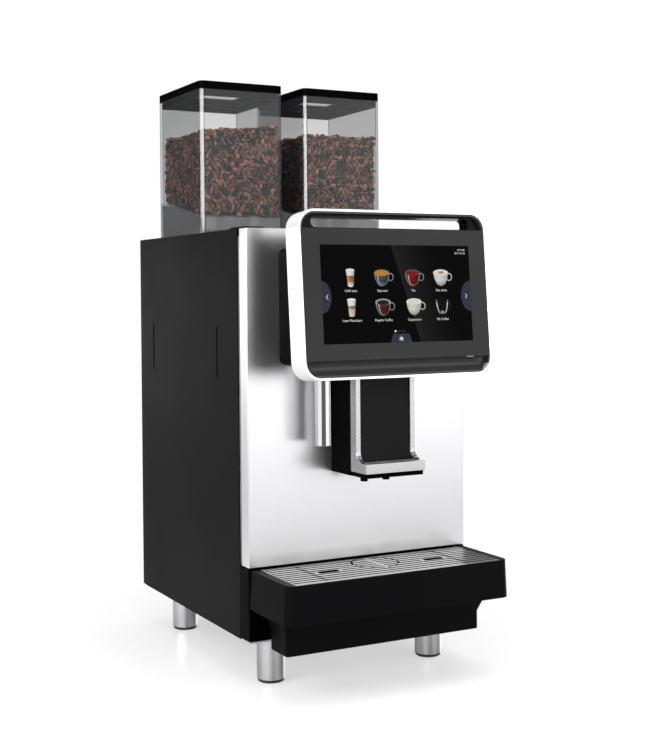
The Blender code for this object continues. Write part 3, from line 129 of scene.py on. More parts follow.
SURFACE_GRAIN = make_surface_grain()
HANDLING_MARKS = make_handling_marks()


def new_material(name):
    """A material, with its nodes, links and shader at hand."""
    material = bpy.data.materials.new(name)
    material.use_nodes = True
    nodes = material.node_tree.nodes
    return material, nodes, material.node_tree.links, nodes["Principled BSDF"]


def preset(node, settings):
    """Sets a node's sockets by name."""
    for socket, value in settings:
        node.inputs[socket].default_value = value
    return node


def grain_node(nodes, settings):
    """The shared surface grain, set for one material."""
    surface = nodes.new("ShaderNodeGroup")
    surface.node_tree = SURFACE_GRAIN
    return preset(surface, settings)


def blend(nodes, links, share, first, second):
    """Two tones mixed by a share. Each is a plain colour or comes from another node."""
    mixed = nodes.new("ShaderNodeMix")
    mixed.data_type = "RGBA"
    links.new(share, mixed.inputs["Factor"])
    for socket, tone in (("A", first), ("B", second)):
        if isinstance(tone, tuple):
            mixed.inputs[socket].default_value = (*tone, 1)
        else:
            links.new(tone, mixed.inputs[socket])
    return mixed.outputs["Result"]


def finish(name, dark, light, roughness, metallic=0.0, grain=900.0, stretch=(1, 1, 1), patch=8.0,
           patch_share=0.6, relief=0.00002, marks=0.0, plain=()):
    """A material whose tone, gloss and relief follow its grain. Dark and light are its two tones, roughness
    its two ends, marks how much handling dulls it, and plain the shader's other sockets."""
    material, nodes, links, shader = new_material(name)
    preset(shader, (("Metallic", metallic), *plain))
    surface = grain_node(nodes, (("Stretch", stretch), ("Grain Scale", grain), ("Patch Scale", patch)))
    share = nodes.new("ShaderNodeMix")
    share.inputs["Factor"].default_value = patch_share
    links.new(surface.outputs["Grain"], share.inputs["A"])
    links.new(surface.outputs["Patch"], share.inputs["B"])
    links.new(blend(nodes, links, share.outputs["Result"], dark, light), shader.inputs["Base Color"])
    gloss = spread(nodes, links, share.outputs["Result"], 0, 1, *roughness)
    if marks:
        handled = nodes.new("ShaderNodeGroup")
        handled.node_tree = HANDLING_MARKS
        dulled = nodes.new("ShaderNodeMath")
        dulled.operation = "MULTIPLY_ADD"
        dulled.inputs[1].default_value = marks
        links.new(handled.outputs["Mark"], dulled.inputs[0])
        links.new(gloss, dulled.inputs[2])
        gloss = dulled.outputs[0]
    links.new(gloss, shader.inputs["Roughness"])
    bump = nodes.new("ShaderNodeBump")
    bump.inputs["Distance"].default_value = relief
    links.new(surface.outputs["Grain"], bump.inputs["Height"])
    links.new(bump.outputs["Normal"], shader.inputs["Normal"])
    return material


def arc(centre, radius, start, end, steps):
    """Points round an arc, with angles in degrees."""
    angles = (math.radians(start + (end - start) * i / steps) for i in range(steps + 1))
    return [(centre[0] + radius * math.cos(a), centre[1] + radius * math.sin(a)) for a in angles]


def rounded(low, high, radii, steps=12):
    """A rectangle's outline, anticlockwise from its low corner, with one radius or one for each corner."""
    radii = radii if isinstance(radii, tuple) else (radii,) * 4
    corners = ((low[0], low[1]), (high[0], low[1]), (high[0], high[1]), (low[0], high[1]))
    inward = ((1, 1), (-1, 1), (-1, -1), (1, -1))
    points = []
    for i, (corner, way, radius) in enumerate(zip(corners, inward, radii)):
        if radius <= 0:
            points.append(corner)
            continue
        centre = (corner[0] + way[0] * radius, corner[1] + way[1] * radius)
        points += arc(centre, radius, 180 + 90 * i, 270 + 90 * i, steps)
    return points


def circle(centre, radius, sides=AROUND):
    return arc(centre, radius, 0, 360 - 360 / sides, sides - 1)


def along(axis, point, height):
    """A point of an outline, set at a height along the axis that the outline faces."""
    a, b = point
    return {"X": (height, a, b), "Y": (a, height, b), "Z": (a, b, height)}[axis]


def loft(*sections):
    """A solid through sections with equal numbers of points, capped at both ends."""
    shape = bmesh.new()
    rings = [[shape.verts.new(p) for p in section] for section in sections]
    for low, high in zip(rings, rings[1:]):
        for i in range(len(low)):
            j = (i + 1) % len(low)
            shape.faces.new((low[i], low[j], high[j], high[i]))
    shape.faces.new(rings[0])
    shape.faces.new(rings[-1])
    bmesh.ops.recalc_face_normals(shape, faces=shape.faces)
    return shape


def prism(outline, axis, low, high):
    """An outline carried from low to high, each a height or a rule that gives one for a point."""
    heights = [h if callable(h) else (lambda p, h=h: h) for h in (low, high)]
    return loft(*[[along(axis, p, height(p)) for p in outline] for height in heights])


def block(low, high):
    return prism(rounded(low[:2], high[:2], 0), "Z", low[2], high[2])


def turned(profile, centre, axis="Z", sides=AROUND):
    """A solid of revolution: the profile is (radius, height) pairs round a closed section."""
    shape = bmesh.new()
    verts = [shape.verts.new((radius, 0, height)) for radius, height in profile]
    closing = [] if profile[0][0] == 0 and profile[-1][0] == 0 else [(verts[-1], verts[0])]
    edges = [shape.edges.new(pair) for pair in [*zip(verts, verts[1:]), *closing]]
    bmesh.ops.spin(
        shape, geom=verts + edges, axis=(
            0, 0, 1
        ), cent=(0, 0, 0), angle=math.tau, steps=sides, use_merge=True
    )
    bmesh.ops.remove_doubles(shape, verts=shape.verts, dist=1e-6)
    turn = {
        "Z": Matrix(), "X": Matrix.Rotation(math.pi / 2, 4, "Y"), "Y": Matrix.Rotation(-math.pi / 2, 4, "X")
    }
    shape.transform(Matrix.Translation(centre) @ turn[axis])
    bmesh.ops.recalc_face_normals(shape, faces=shape.faces)
    return shape


def soften(shape, width, segments=3, angle=32.0):
    """Rounds every edge that is sharper than the angle."""
    limit = math.radians(angle)
    sharp = [e for e in shape.edges if len(e.link_faces) == 2 and e.calc_face_angle() > limit]
    bmesh.ops.bevel(
        shape, geom=sharp, offset=width, offset_type="WIDTH", segments=segments, profile=0.5, affect="EDGES",
        clamp_overlap=True,
    )
    return shape


def as_mesh(name, shape):
    """A shape handed over to a mesh."""
    data = bpy.data.meshes.new(name)
    shape.to_mesh(data)
    shape.free()
    return data


def set_out(name, data):
    """An object in the scene, for a mesh, a lamp or a lens."""
    thing = bpy.data.objects.new(name, data)
    bpy.context.scene.collection.objects.link(thing)
    return thing


def together(*shapes):
    """One mesh that holds several shapes."""
    whole = bmesh.new()
    for shape in shapes:
        data = as_mesh("shape", shape)
        whole.from_mesh(data)
        bpy.data.meshes.remove(data)
    return whole


def loose(shape):
    """A working object that holds a shape."""
    return set_out("work", as_mesh("work", shape))


def combine(shape, other, operation):
    """A Boolean of two shapes, with near-coincident points merged."""
    work, tool = loose(shape), loose(other)
    step = work.modifiers.new("combine", "BOOLEAN")
    step.object = tool
    step.operation = operation
    bpy.context.view_layer.update()
    result = bmesh.new()
    result.from_object(work, bpy.context.evaluated_depsgraph_get())
    for used in (work, tool):
        data = used.data
        bpy.data.objects.remove(used)
        bpy.data.meshes.remove(data)
    bmesh.ops.remove_doubles(result, verts=result.verts, dist=1e-6)
    bmesh.ops.dissolve_limit(
        result, angle_limit=math.radians(0.5), verts=result.verts, edges=result.edges, delimit={"NORMAL"}
    )
    return result


def cut(shape, *cutters):
    for cutter in cutters:
        shape = combine(shape, cutter, "DIFFERENCE")
    return shape


def join(shape, *others):
    for other in others:
        shape = combine(shape, other, "UNION")
    return shape


def fitted(name, shape, material, body, slot, *nodes):
    """Shows a shape as one piece that rides on a body, takes a material and stands for nodes; its slot is
    not used.
    """
    data = as_mesh(name, shape)
    data.materials.append(material)
    data.shade_smooth()
    data.set_sharp_from_angle(angle=math.radians(40))
    piece = set_out(name, data)
    piece.modifiers.new("weighted", "WEIGHTED_NORMAL").keep_sharp = True
    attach(piece, body)
    if nodes:
        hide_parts(*nodes)
    return piece


foot_metal = finish(
    "anodised_foot", (
        0.46, 0.46, 0.47
    ), (0.56, 0.56, 0.57), (0.27, 0.36), 1.0, grain=2600, patch=30, relief=0.00001
)
rubber = finish(
    "rubber", (0.010, 0.010, 0.010), (0.020, 0.020, 0.021), (0.62, 0.8), grain=1800, relief=0.00008
)
for end in ("front_left", "front_right", "rear_left", "rear_right"):
    low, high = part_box("foot_pad_" + end)
    x, y = (low.x + high.x) / 2, (low.y + high.y) / 2
    radius = (high.x - low.x) / 2
    stem_z = high.z
    tube_low, tube_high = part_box("foot_" + end)
    tread = tube_low.z - GAP
    pad = [
        (0, low.z), (
            radius - PAD_CHAMFER[0], low.z
        ), (radius, low.z + PAD_CHAMFER[1]), (radius, tread), (PAD_STEM, tread),
        (PAD_STEM, stem_z), (0, stem_z),
    ]
    fitted("foot_pad_piece_" + end, soften(turned(pad, (x, y, 0)), PAD_EDGE, 2), rubber, "machine", "rubber",
           "foot_pad_" + end)
    radius = (tube_high.x - tube_low.x) / 2
    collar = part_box("base_pan")[0].z - GAP
    tube = [
        (0, stem_z + GAP), (PAD_STEM + GAP, stem_z + GAP), (PAD_STEM + GAP, tube_low.z),
        (radius, tube_low.z), (radius, collar), (STUD_RADIUS, collar), (
            STUD_RADIUS, tube_high.z
        ), (0, tube_high.z),
    ]
    fitted("foot_tube_" + end, soften(
        turned(tube, (x, y, 0)), FOOT_EDGE
    ), foot_metal, "machine", "foot_tube",
           "foot_" + end)

# ================================================================ body panels
# Pressed steel sheets with a satin black powder coat. Each side panel bends round the rear corner into a
# flange and has two shallow pressed grips. The rear sheet is screwed on behind the flanges, with slots
# that cool the works.
SHEET = 0.0015
REAR_BEND = 0.006
REAR_STRIP = 0.028
REAR_TURN_IN = 0.0012
REAR_FLANGE = 0.052
SHEET_EDGE = 0.0004
GRIP_HEIGHTS = (0.407, 0.480)
GRIPS = ((0.0795, 0.024), (0.322, 0.033))  # from the door's face, and width
GRIP_DEPTH = 0.0008
GRIP_CORNER = 0.006
LOUVRE_HALF = 0.032
LOUVRE_HEIGHT = 0.004
LOUVRE_ROWS = 7
LOUVRE_PITCH = 0.010
SCREW_RADIUS = 0.0034
SCREW_HEIGHT = 0.0016
TOP_SHEET = 0.002
SCREW_INSET = (0.008, 0.012)
THROAT_HOLE = 0.027

powder_coat = finish(
    "powder_coat", (0.0011, 0.0012, 0.0014), (0.0019, 0.0020, 0.0023), (0.40, 0.50), grain=1500, patch=3.5,
    patch_share=0.75, relief=0.00003, marks=0.04, plain=(("Specular IOR Level", 0.05),),
)
zinc = finish(
    "zinc_sheet", (0.42, 0.43, 0.45), (0.62, 0.63, 0.64), (0.32, 0.48), 0.9, grain=260, patch=25,
    relief=0.00001
)
face_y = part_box("front_door")[0].y
rear_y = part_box("left_side_panel")[1].y
body_low, body_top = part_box("left_side_panel")[0].z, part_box("left_side_panel")[1].z
half_width = -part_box("left_side_panel")[0].x
side_front_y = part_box("left_side_panel")[0].y
for side_name, side in (("left", -1), ("right", 1)):
    outer, inner = [], []
    centre = (-half_width + REAR_TURN_IN + REAR_BEND, rear_y - REAR_BEND)
    for points, radius, inset in ((outer, REAR_BEND, 0.0), (inner, REAR_BEND - SHEET, SHEET)):
        points.append((-half_width + inset, side_front_y))
        points.append((-half_width + inset, rear_y - REAR_STRIP))
        points += arc(centre, radius, 180, 90, 12)
        points.append((-half_width + REAR_FLANGE, rear_y - inset))
    outline = [(x * -side, y) for x, y in outer + inner[::-1]]
    panel = prism(outline, "Z", body_low, body_top)
    deep, clear = sorted((side * (half_width - GRIP_DEPTH), side * (half_width + PAST)))
    for start, width in GRIPS:
        low, high = (face_y + start, GRIP_HEIGHTS[0]), (face_y + start + width, GRIP_HEIGHTS[1])
        panel = cut(panel, prism(rounded(low, high, GRIP_CORNER, 8), "X", deep, clear))
    fitted(f"{side_name}_side", soften(panel, SHEET_EDGE, 2), powder_coat, "machine", "black_steel",
           f"{side_name}_side_panel")


def screw(x, y, z, radius=SCREW_RADIUS, axis="Y"):
    """A pan-head screw with a cross recess, its head standing toward +Y, or up."""
    height = SCREW_HEIGHT * radius / SCREW_RADIUS
    profile = [(0, 0), (radius, 0), (radius, height * 0.4), (radius * 0.75, height * 0.85), (0, height)]
    head = turned(profile, (0, 0, 0), sides=24)
    arm = radius * 0.55
    slot = radius * 0.12
    cross = [block((-a, -b, height * 0.45), (a, b, height * 2)) for a, b in ((arm, slot), (slot, arm))]
    head = cut(head, *cross)
    turn = Matrix() if axis == "Z" else Matrix.Rotation(-math.pi / 2, 4, "X")
    head.transform(Matrix.Translation((x, y, z)) @ turn)
    return head


low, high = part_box("rear_panel")
fan_x = sum(v.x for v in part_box("fan_frame")) / 2
fan_z = sum(v.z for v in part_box("fan_frame")) / 2
sheet = prism(rounded((low.x, low.z), (high.x, high.z), 0.002, 3), "Y", low.y, high.y)
recess_low, recess_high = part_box("service_recess")
rim = 0.003
window = rounded((recess_low.x + rim, recess_low.z + rim), (recess_high.x - rim, recess_high.z - rim), 0.004)
sheet = cut(sheet, prism(window, "Y", low.y - PAST, high.y + PAST))
first_row = fan_z - LOUVRE_PITCH * (LOUVRE_ROWS - 1) / 2
slots = [
    prism(rounded(
        (x - LOUVRE_HALF, z), (x + LOUVRE_HALF, z + LOUVRE_HEIGHT), LOUVRE_HEIGHT / 2 - 0.0001, 6
    ), "Y",
          low.y - PAST, high.y + PAST)
    for x in (fan_x, -fan_x)
    for z in [first_row + LOUVRE_PITCH * row for row in range(LOUVRE_ROWS)]
]
sheet = cut(sheet, together(*slots))
fitted("rear_sheet", soften(sheet, SHEET_EDGE, 2), powder_coat, "machine", "black_steel", "rear_panel")
screws = [
    screw(x, high.y, z)
    for x in (low.x + SCREW_INSET[0], high.x - SCREW_INSET[0])
    for z in (
        low.z + SCREW_INSET[1], (2 * low.z + high.z) / 3, (low.z + 2 * high.z) / 3, high.z - SCREW_INSET[1]
    )
]
fitted("rear_screws", together(*screws), zinc, "machine", "zinc_sheet")

low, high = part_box("top_cover")
throats = [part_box(name) for name in ("grinder_left", "grinder_right")]


def cover_outline(inset):
    """The top sheet's outline, which follows the side panels' turn and bend at the rear."""
    half, rear = high.x - inset, high.y - inset
    bend = REAR_BEND - SHEET - GAP
    x = half - REAR_TURN_IN - bend
    corners = arc((x, rear - bend), bend, 0, 90, 8) + arc((-x, rear - bend), bend, 90, 180, 8)
    turn = rear_y - REAR_STRIP
    return [(-half, low.y + inset), (half, low.y + inset), (half, turn), *corners, (-half, turn)]


cover = prism(cover_outline(0), "Z", low.z, high.z)
cover = cut(cover, prism(cover_outline(TOP_SHEET), "Z", low.z - PAST, high.z - TOP_SHEET))
for hole_low, hole_high in throats:
    centre = ((hole_low.x + hole_high.x) / 2, (hole_low.y + hole_high.y) / 2)
    cover = cut(cover, prism(circle(centre, THROAT_HOLE), "Z", low.z, high.z + PAST))
fitted("top_sheet", soften(cover, SHEET_EDGE, 2), powder_coat, "machine", "black_steel", "top_cover")

# ================================================================ lower apron
# Black moulded apron below the door, open at its back, that hides the front feet's screws.
# The tray's U-shaped carrier is a flat steel strip that comes out under it.
APRON_WALL = 0.003
black_plastic = finish(
    "black_plastic", (0.0006, 0.0006, 0.0007), (0.0011, 0.0011, 0.0013), (0.26, 0.38), grain=2200, patch=6,
    patch_share=0.5, relief=0.00004, marks=0.05, plain=(("Specular IOR Level", 0.012),),
)
low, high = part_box("lower_fascia")
apron = prism(rounded((low.x, low.y), (high.x, high.y), (0.002, 0.002, 0, 0), 4), "Z", low.z, high.z)
apron = cut(apron, block(
    (low.x + APRON_WALL, low.y + APRON_WALL, low.z - PAST), (
        high.x - APRON_WALL, high.y + PAST, high.z - APRON_WALL
    )
))
fitted("apron", soften(apron, 0.0005, 2), black_plastic, "machine", "black_plastic", "lower_fascia")
low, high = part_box("tray_runner")
strip = 0.006
bridge = high.y - 0.004
carrier = [
    (low.x, low.y), (low.x + strip, low.y), (low.x + strip, bridge), (high.x - strip, bridge),
    (high.x - strip, low.y), (high.x, low.y), (high.x, high.y), (low.x, high.y),
]
fitted("tray_carrier", soften(
    prism(carrier, "Z", low.z, high.z), 0.0005, 2
), powder_coat, "machine", "black_steel",
       "tray_runner")

# ================================================================ works behind the panels
# Zinc-plated sheet frames, two grinders in cast alloy, a stainless boiler, the pump and brewing unit, a
# circuit board, the fan and the bin for spent coffee. They are seen when the door is open, or through the
# rear slots.


def refinish(node, material):
    """Gives a piece that shows its solid as it is its finish."""
    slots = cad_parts[node].data.materials
    slots.clear()
    slots.append(material)


cast_alloy = finish(
    "cast_alloy", (0.30, 0.30, 0.31), (0.47, 0.47, 0.48), (0.42, 0.58), 0.9, grain=500, relief=0.0001
)
works_steel = finish(
    "works_steel", (0.50, 0.50, 0.51), (0.62, 0.62, 0.63), (0.18, 0.30), 1.0, grain=700, stretch=(1, 1, 0.04)
)
burr_steel = finish(
    "burr_steel", (0.38, 0.38, 0.40), (0.55, 0.55, 0.57), (0.2, 0.34), 1.0, grain=900, relief=0.00005
)
grey_plastic = finish(
    "grey_plastic", (0.17, 0.17, 0.18), (0.23, 0.23, 0.24), (0.42, 0.55), grain=1600, relief=0.00005
)
board_green = finish(
    "board_lacquer", (0.008, 0.085, 0.030), (0.015, 0.14, 0.05), (0.22, 0.4), grain=420, patch=90
)
for nodes, material in (
    (("base_pan", "front_frame", "inner_deck", "service_recess"), zinc),
    (("grinder_left", "grinder_right"), cast_alloy),
    (("boiler", "brew_piston"), works_steel),
    (("burr_left", "burr_right"), burr_steel),
    (("water_pump", "grounds_container", "fan_rotor"), grey_plastic),
    (("brew_unit_frame", "fan_frame"), black_plastic),
    (("control_board",), board_green),
):
    for node in nodes:
        refinish(node, material)


# ================================================================ door
# Pressed steel door with a satin silver lacquer, hollow at its back, its hinge edge rounded about the pins.
# Two black hinge plates with short pins carry it, one on the body's top and one on the apron.
DOOR_EDGE = 0.0011
DOOR_SKIN = 0.0025
DOOR_END_WALL = 0.004
HINGE_POST = 0.015
HINGE_INSET = 0.007
HINGE_PIN = 0.003

silver_lacquer = finish(
    "silver_lacquer", (0.84, 0.84, 0.855), (0.90, 0.90, 0.915), (0.27, 0.30), 0.97, grain=1700, patch=4,
    patch_share=0.3, relief=0.00001, marks=0.015,
)
low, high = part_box("front_door")
outline = rounded((low.x, low.y), (high.x, high.y), (0.0012, 0.0012, 0, HINGE_INSET), 8)
leaf = prism(outline, "Z", low.z, high.z)
leaf = cut(leaf, block(
    (low.x + HINGE_POST, low.y + DOOR_SKIN, low.z + DOOR_END_WALL),
    (high.x - DOOR_SKIN, high.y + PAST, high.z - DOOR_END_WALL),
))
hinge = (low.x + HINGE_INSET, high.y - HINGE_INSET)
bore = circle(hinge, HINGE_PIN + GAP, 32)
deep = DOOR_END_WALL + 0.002
leaf = cut(
    leaf, prism(bore, "Z", low.z - PAST, low.z + deep), prism(bore, "Z", high.z - deep, high.z + PAST)
)
fitted("door_leaf", soften(leaf, DOOR_EDGE * 0.7), silver_lacquer, "door", "satin_silver", "front_door")
for end in ("upper", "lower"):
    low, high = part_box("hinge_bracket_" + end)
    thick = 0.002 if end == "upper" else 0.001
    plate_low = high.z - thick if end == "upper" else low.z
    plate = prism(rounded((low.x, low.y), (high.x, high.y), 0.004, 6), "Z", plate_low, plate_low + thick)
    pin = turned(
        [(0, 0), (HINGE_PIN, 0), (HINGE_PIN, high.z - low.z), (0, high.z - low.z)], (*hinge, low.z), sides=32
    )
    plate = soften(join(plate, pin), 0.0003, 2)
    if end == "upper":
        heads = [screw(x, high.y - 0.008, high.z, 0.0025, "Z") for x in (low.x + 0.007, high.x - 0.007)]
        plate = together(plate, *heads)
    fitted("hinge_plate_" + end, plate, black_plastic, "machine", "black_steel", "hinge_bracket_" + end)

# ================================================================ screen mount
# Black moulded box that carries the screen off the door. It is open toward the screen, has a notch for the
# outlet's slide and a hole that the hot-water pipe hangs through.
MOUNT_WALL = 0.003
MOUNT_CORNER = 0.010
GLASS_FRONT = 0.0005
HOUSING_BACK = 0.030
NOTCH_SIDE = 0.0037
NOTCH_TOP = 0.045  # below the box's top

corners = [v.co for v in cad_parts["screen_glass"].data.vertices]
glass_foot = min(corners, key=lambda p: p.y)
glass_head = max(corners, key=lambda p: p.z)
tilt = math.atan2(glass_head.y - glass_foot.y, glass_head.z - glass_foot.z)
glass_high = math.hypot(glass_head.y - glass_foot.y, glass_head.z - glass_foot.z) / 2
glass_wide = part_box("screen_glass")[1].x
into_screen = Vector((0, math.cos(tilt), -math.sin(tilt)))
screen_origin = (glass_foot + glass_head) / 2 - into_screen * GLASS_FRONT
screen_origin.x = 0
screen_place = Matrix.Translation(screen_origin) @ Matrix.Rotation(-tilt, 4, "X")


def behind_screen(z, depth):
    """Y of the plane at a depth behind the screen's front, at a height z."""
    up = (z - screen_origin.z + depth * math.sin(tilt)) / math.cos(tilt)
    return screen_origin.y + up * math.sin(tilt) + depth * math.cos(tilt)


low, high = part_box("screen_mount_box")
outlet_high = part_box("outlet_shell")[1]
pipe_low, pipe_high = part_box("hot_water_pipe")
pipe_centre = ((pipe_low.x + pipe_high.x) / 2, (pipe_low.y + pipe_high.y) / 2)
pipe_radius = (pipe_high.x - pipe_low.x) / 2
wall = MOUNT_WALL
mount = prism(
    rounded((low.x, low.z), (high.x, high.z), MOUNT_CORNER), "Y",
    lambda p: behind_screen(p[1], HOUSING_BACK + GAP), high.y,
)
hollow = rounded((low.x + wall, low.z + wall), (high.x - wall, high.z - wall), MOUNT_CORNER - wall)
mount = cut(mount, prism(hollow, "Y", low.y - 0.05, high.y - wall))
notch = outlet_high.x + NOTCH_SIDE
notch_top = high.z - NOTCH_TOP
mount = cut(
    mount,
    block((-notch, low.y - 0.05, low.z - PAST), (notch, high.y + PAST, low.z + wall + 0.002)),
    block((-notch, high.y - wall - 0.001, low.z - PAST), (notch, high.y + PAST, notch_top)),
    prism(circle(pipe_centre, pipe_radius + GAP), "Z", low.z - PAST, low.z + PAST),
)
fitted("screen_mount", soften(mount, 0.0008, 2), black_plastic, "door", "black_plastic", "screen_mount_box")

# ================================================================ screen
# Extruded aluminium band with a satin clear finish, round a black glossy liner that scoops in below the
# glass. A hardened glass with a dark printed border covers the display. Above it is a slot for the
# fingers.
BAND_WIDTH = 0.2845
BAND_HEIGHT = 0.2184
BAND_DEPTH = 0.037
BAND_THICK = 0.003
BAND_CORNER = 0.024
LINER_THICK = 0.0022
LINER_FRONT = 0.001
SILL_BACK = 0.028
SILL_SCOOP = 0.011
GLASS_THICK = 0.003
HOUSING_FRONT = 0.008
HOUSING_WALL = 0.0027
SLOT_HALF = 0.120
SLOT_TOP_WALL = 0.0022
SLOT_CORNER = 0.006
SLOT_SILL = 0.0017
DISPLAY_HALF_X = 0.1217
DISPLAY_HALF_Z = 0.0757

band_metal = finish(
    "band_aluminium", (0.90, 0.90, 0.905), (0.94, 0.94, 0.945), (0.24, 0.28), 0.35, grain=1900, patch=3,
    patch_share=0.3, relief=0.00001, marks=0.02,
)
gloss_black = finish(
    "gloss_black", (0.0055, 0.0056, 0.0062), (0.0075, 0.0077, 0.0084), (0.05, 0.10), grain=1200, patch=12,
    relief=0.000004, marks=0.08, plain=(("Specular IOR Level", 0.06),),
)
satin_black = finish(
    "satin_black", (0.028, 0.028, 0.030), (0.038, 0.038, 0.040), (0.18, 0.26), grain=1200, patch=12,
    relief=0.000004, marks=0.05, plain=(("Specular IOR Level", 0.25),),
)
glass_print = finish(
    "glass_print", (0.0225, 0.0225, 0.0240), (0.0285, 0.0280, 0.0285), (0.05, 0.08), grain=1600, patch=5,
    patch_share=0.9, relief=0.0, marks=0.05, plain=(("Specular IOR Level", 0.06),),
)


def band_outline(inset, steps=20):
    x, z = BAND_WIDTH / 2 - inset, BAND_HEIGHT / 2 - inset
    return rounded((-x, -z), (x, z), BAND_CORNER - inset, steps)


def ring(outer, inner, axis, low, high):
    """A tube between two outlines with equal numbers of points."""
    shape = bmesh.new()
    loops = [
        [shape.verts.new(along(axis, p, height)) for p in outline]
        for outline, height in ((outer, low), (outer, high), (inner, high), (inner, low))
    ]
    for near, far in zip(loops, loops[1:] + loops[:1]):
        for i in range(len(near)):
            j = (i + 1) % len(near)
            shape.faces.new((near[i], near[j], far[j], far[i]))
    bmesh.ops.recalc_face_normals(shape, faces=shape.faces)
    return shape


def on_screen(shape):
    """Moves a shape from the screen's own tilted frame into place."""
    shape.transform(screen_place)
    return shape


band = soften(ring(band_outline(0), band_outline(BAND_THICK), "Y", 0, BAND_DEPTH), 0.0007)
fitted("screen_surround", on_screen(band), band_metal, "door", "band_silver", "screen_band")

outside = BAND_THICK + GAP
inside = outside + LINER_THICK
liner = ring(band_outline(outside), band_outline(inside), "Y", LINER_FRONT, BAND_DEPTH - GAP)
half_x, half_z = BAND_WIDTH / 2 - outside, BAND_HEIGHT / 2 - outside
glass_edge = glass_high + GAP
embed = 0.001
sill = rounded(
    (
        embed - half_x, embed - half_z
    ), (half_x - embed, -glass_edge), (BAND_CORNER - outside - embed,) * 2 + (0, 0), 20
)
liner = join(liner, prism(sill, "Y", LINER_FRONT + 0.0005, SILL_BACK))
bottom, top = LINER_THICK - half_z + 0.0005, -glass_edge + 0.001
middle, reach = (bottom + top) / 2, (top - bottom) / 2
scoop = [(-0.002, bottom), (LINER_FRONT, bottom)]
for step in range(1, 17):
    t = 0.05 + 0.75 * step / 16
    scoop.append((LINER_FRONT + SILL_SCOOP * math.sin(math.pi * t), middle - reach * math.cos(math.pi * t)))
scoop += [(LINER_FRONT + GLASS_THICK, top), (-0.002, top)]
x = half_x - LINER_THICK
seat = GLASS_FRONT + GLASS_THICK + GAP
liner = cut(
    liner, prism(scoop, "X", -x, x), block((-BAND_WIDTH, -0.01, -glass_edge), (BAND_WIDTH, seat, glass_edge))
)
fitted(
    "screen_lining", on_screen(soften(liner, 0.0003, 2)), satin_black, "door", "gloss_black", "screen_liner"
)

clear = inside + GAP
x, top = BAND_WIDTH / 2 - clear, BAND_HEIGHT / 2 - clear
corner = BAND_CORNER - clear
housing = prism(
    rounded((-x, 0.001 - glass_high), (x, top), (0, 0, corner, corner)), "Y", HOUSING_FRONT, HOUSING_BACK
)
pocket_x, pocket_z = DISPLAY_HALF_X + GAP, DISPLAY_HALF_Z + GAP
slot = rounded((-SLOT_HALF, glass_high + SLOT_SILL), (SLOT_HALF, top - SLOT_TOP_WALL), SLOT_CORNER)
housing = cut(
    housing,
    block((-pocket_x, 0, -pocket_z), (pocket_x, HOUSING_BACK - HOUSING_WALL, pocket_z)),
    prism(slot, "Y", -0.01, HOUSING_BACK + PAST),
)
fitted(
    "screen_back", on_screen(
        soften(housing, 0.0008, 2)
    ), gloss_black, "door", "black_plastic", "screen_rear_housing"
)
glass = soften(
    block(
        (-glass_wide, GLASS_FRONT, -glass_high), (glass_wide, GLASS_FRONT + GLASS_THICK, glass_high)
    ), 0.0003, 2
)
fitted("cover_glass", on_screen(glass), glass_print, "door", "screen_glass", "screen_glass")
refinish("display_module", grey_plastic)

# ================================================================ what the display shows
# A black wallpaper with a soft slanted sheen, eight drinks in two rows with their names, page dots, a tab
# at the bottom, an arrow tab at each side, and the time and date. It glows behind the glass, flush with
# its front.
SHOWN_WIDTH = 0.226
SHOWN_HEIGHT = 0.1274
CELL = 0.00032
LIFT = 0.00004
COLUMNS = (0.187, 0.394, 0.601, 0.795)
ROWS = (0.335, 0.635)
WORD_ROWS = (0.468, 0.768)
DRINKS = (
    ("Caffe latte", "Espresso", "Tea", "Flat white"),
    ("Latte Macchiato", "Regular Coffee", "Cappuccino", "My Coffee"),
)
WORD_SIZE = 0.0044
CLOCK_SIZE = 0.0036
CLOCK_END = 0.972
SHEEN_EDGE = 0.462
SHEEN_SLANT = 0.175
ARROW_ROW = 0.53
HOME_COLUMN = 0.505
TAB_BLUE = (0.034, 0.039, 0.060)
WHITE = (0.80, 0.81, 0.83)

glow, nodes, links, shader = new_material("display_glow")
preset(shader, (
    ("Base Color", (0.001, 0.001, 0.001, 1)), ("Roughness", 0.06), ("Specular IOR Level", 0.015),
    ("Emission Strength", 1.0),
))
painted = nodes.new("ShaderNodeVertexColor")
painted.layer_name = "paint"
glow_grain = grain_node(nodes, (("Grain Scale", 2600),))
dimmed = nodes.new("ShaderNodeMix")
dimmed.data_type = "RGBA"
dimmed.blend_type = "MULTIPLY"
dimmed.inputs["Factor"].default_value = 1.0
links.new(painted.outputs["Color"], dimmed.inputs["A"])
links.new(spread(nodes, links, glow_grain.outputs["Grain"], 0, 1, 0.88, 1.0), dimmed.inputs["B"])
links.new(dimmed.outputs["Result"], shader.inputs["Emission Color"])


def shown(u, v):
    """A place on the display, across and down from its top left corner, in the screen's frame."""
    return (u - 0.5) * SHOWN_WIDTH, (0.5 - v) * SHOWN_HEIGHT


def painted_piece(name, points, faces, colours, layer):
    """A flat painted mesh on the screen, lifted clear of the layers under it."""
    data = bpy.data.meshes.new(name)
    data.from_pydata(
        [screen_place @ Vector((x, GLASS_FRONT - LIFT * layer, z)) for x, z in points], [], faces
    )
    paint = data.color_attributes.new("paint", "FLOAT_COLOR", "POINT")
    paint.data.foreach_set("color", [c for colour in colours for c in (*colour, 1.0)])
    data.materials.append(glow)
    piece = set_out(name, data)
    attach(piece, "door")
    return piece


def sheen(u, v):
    """The wallpaper's tone: black left of a slanted edge, then a sheen that fades to the right."""
    past = u - (SHEEN_EDGE + SHEEN_SLANT * v)
    if past <= 0:
        return (0.0006, 0.0006, 0.0007)
    tone = 0.0006 + 0.0125 * max(0.0, 1 - past / 0.30) ** 1.6
    return (tone, tone, tone * 1.04)


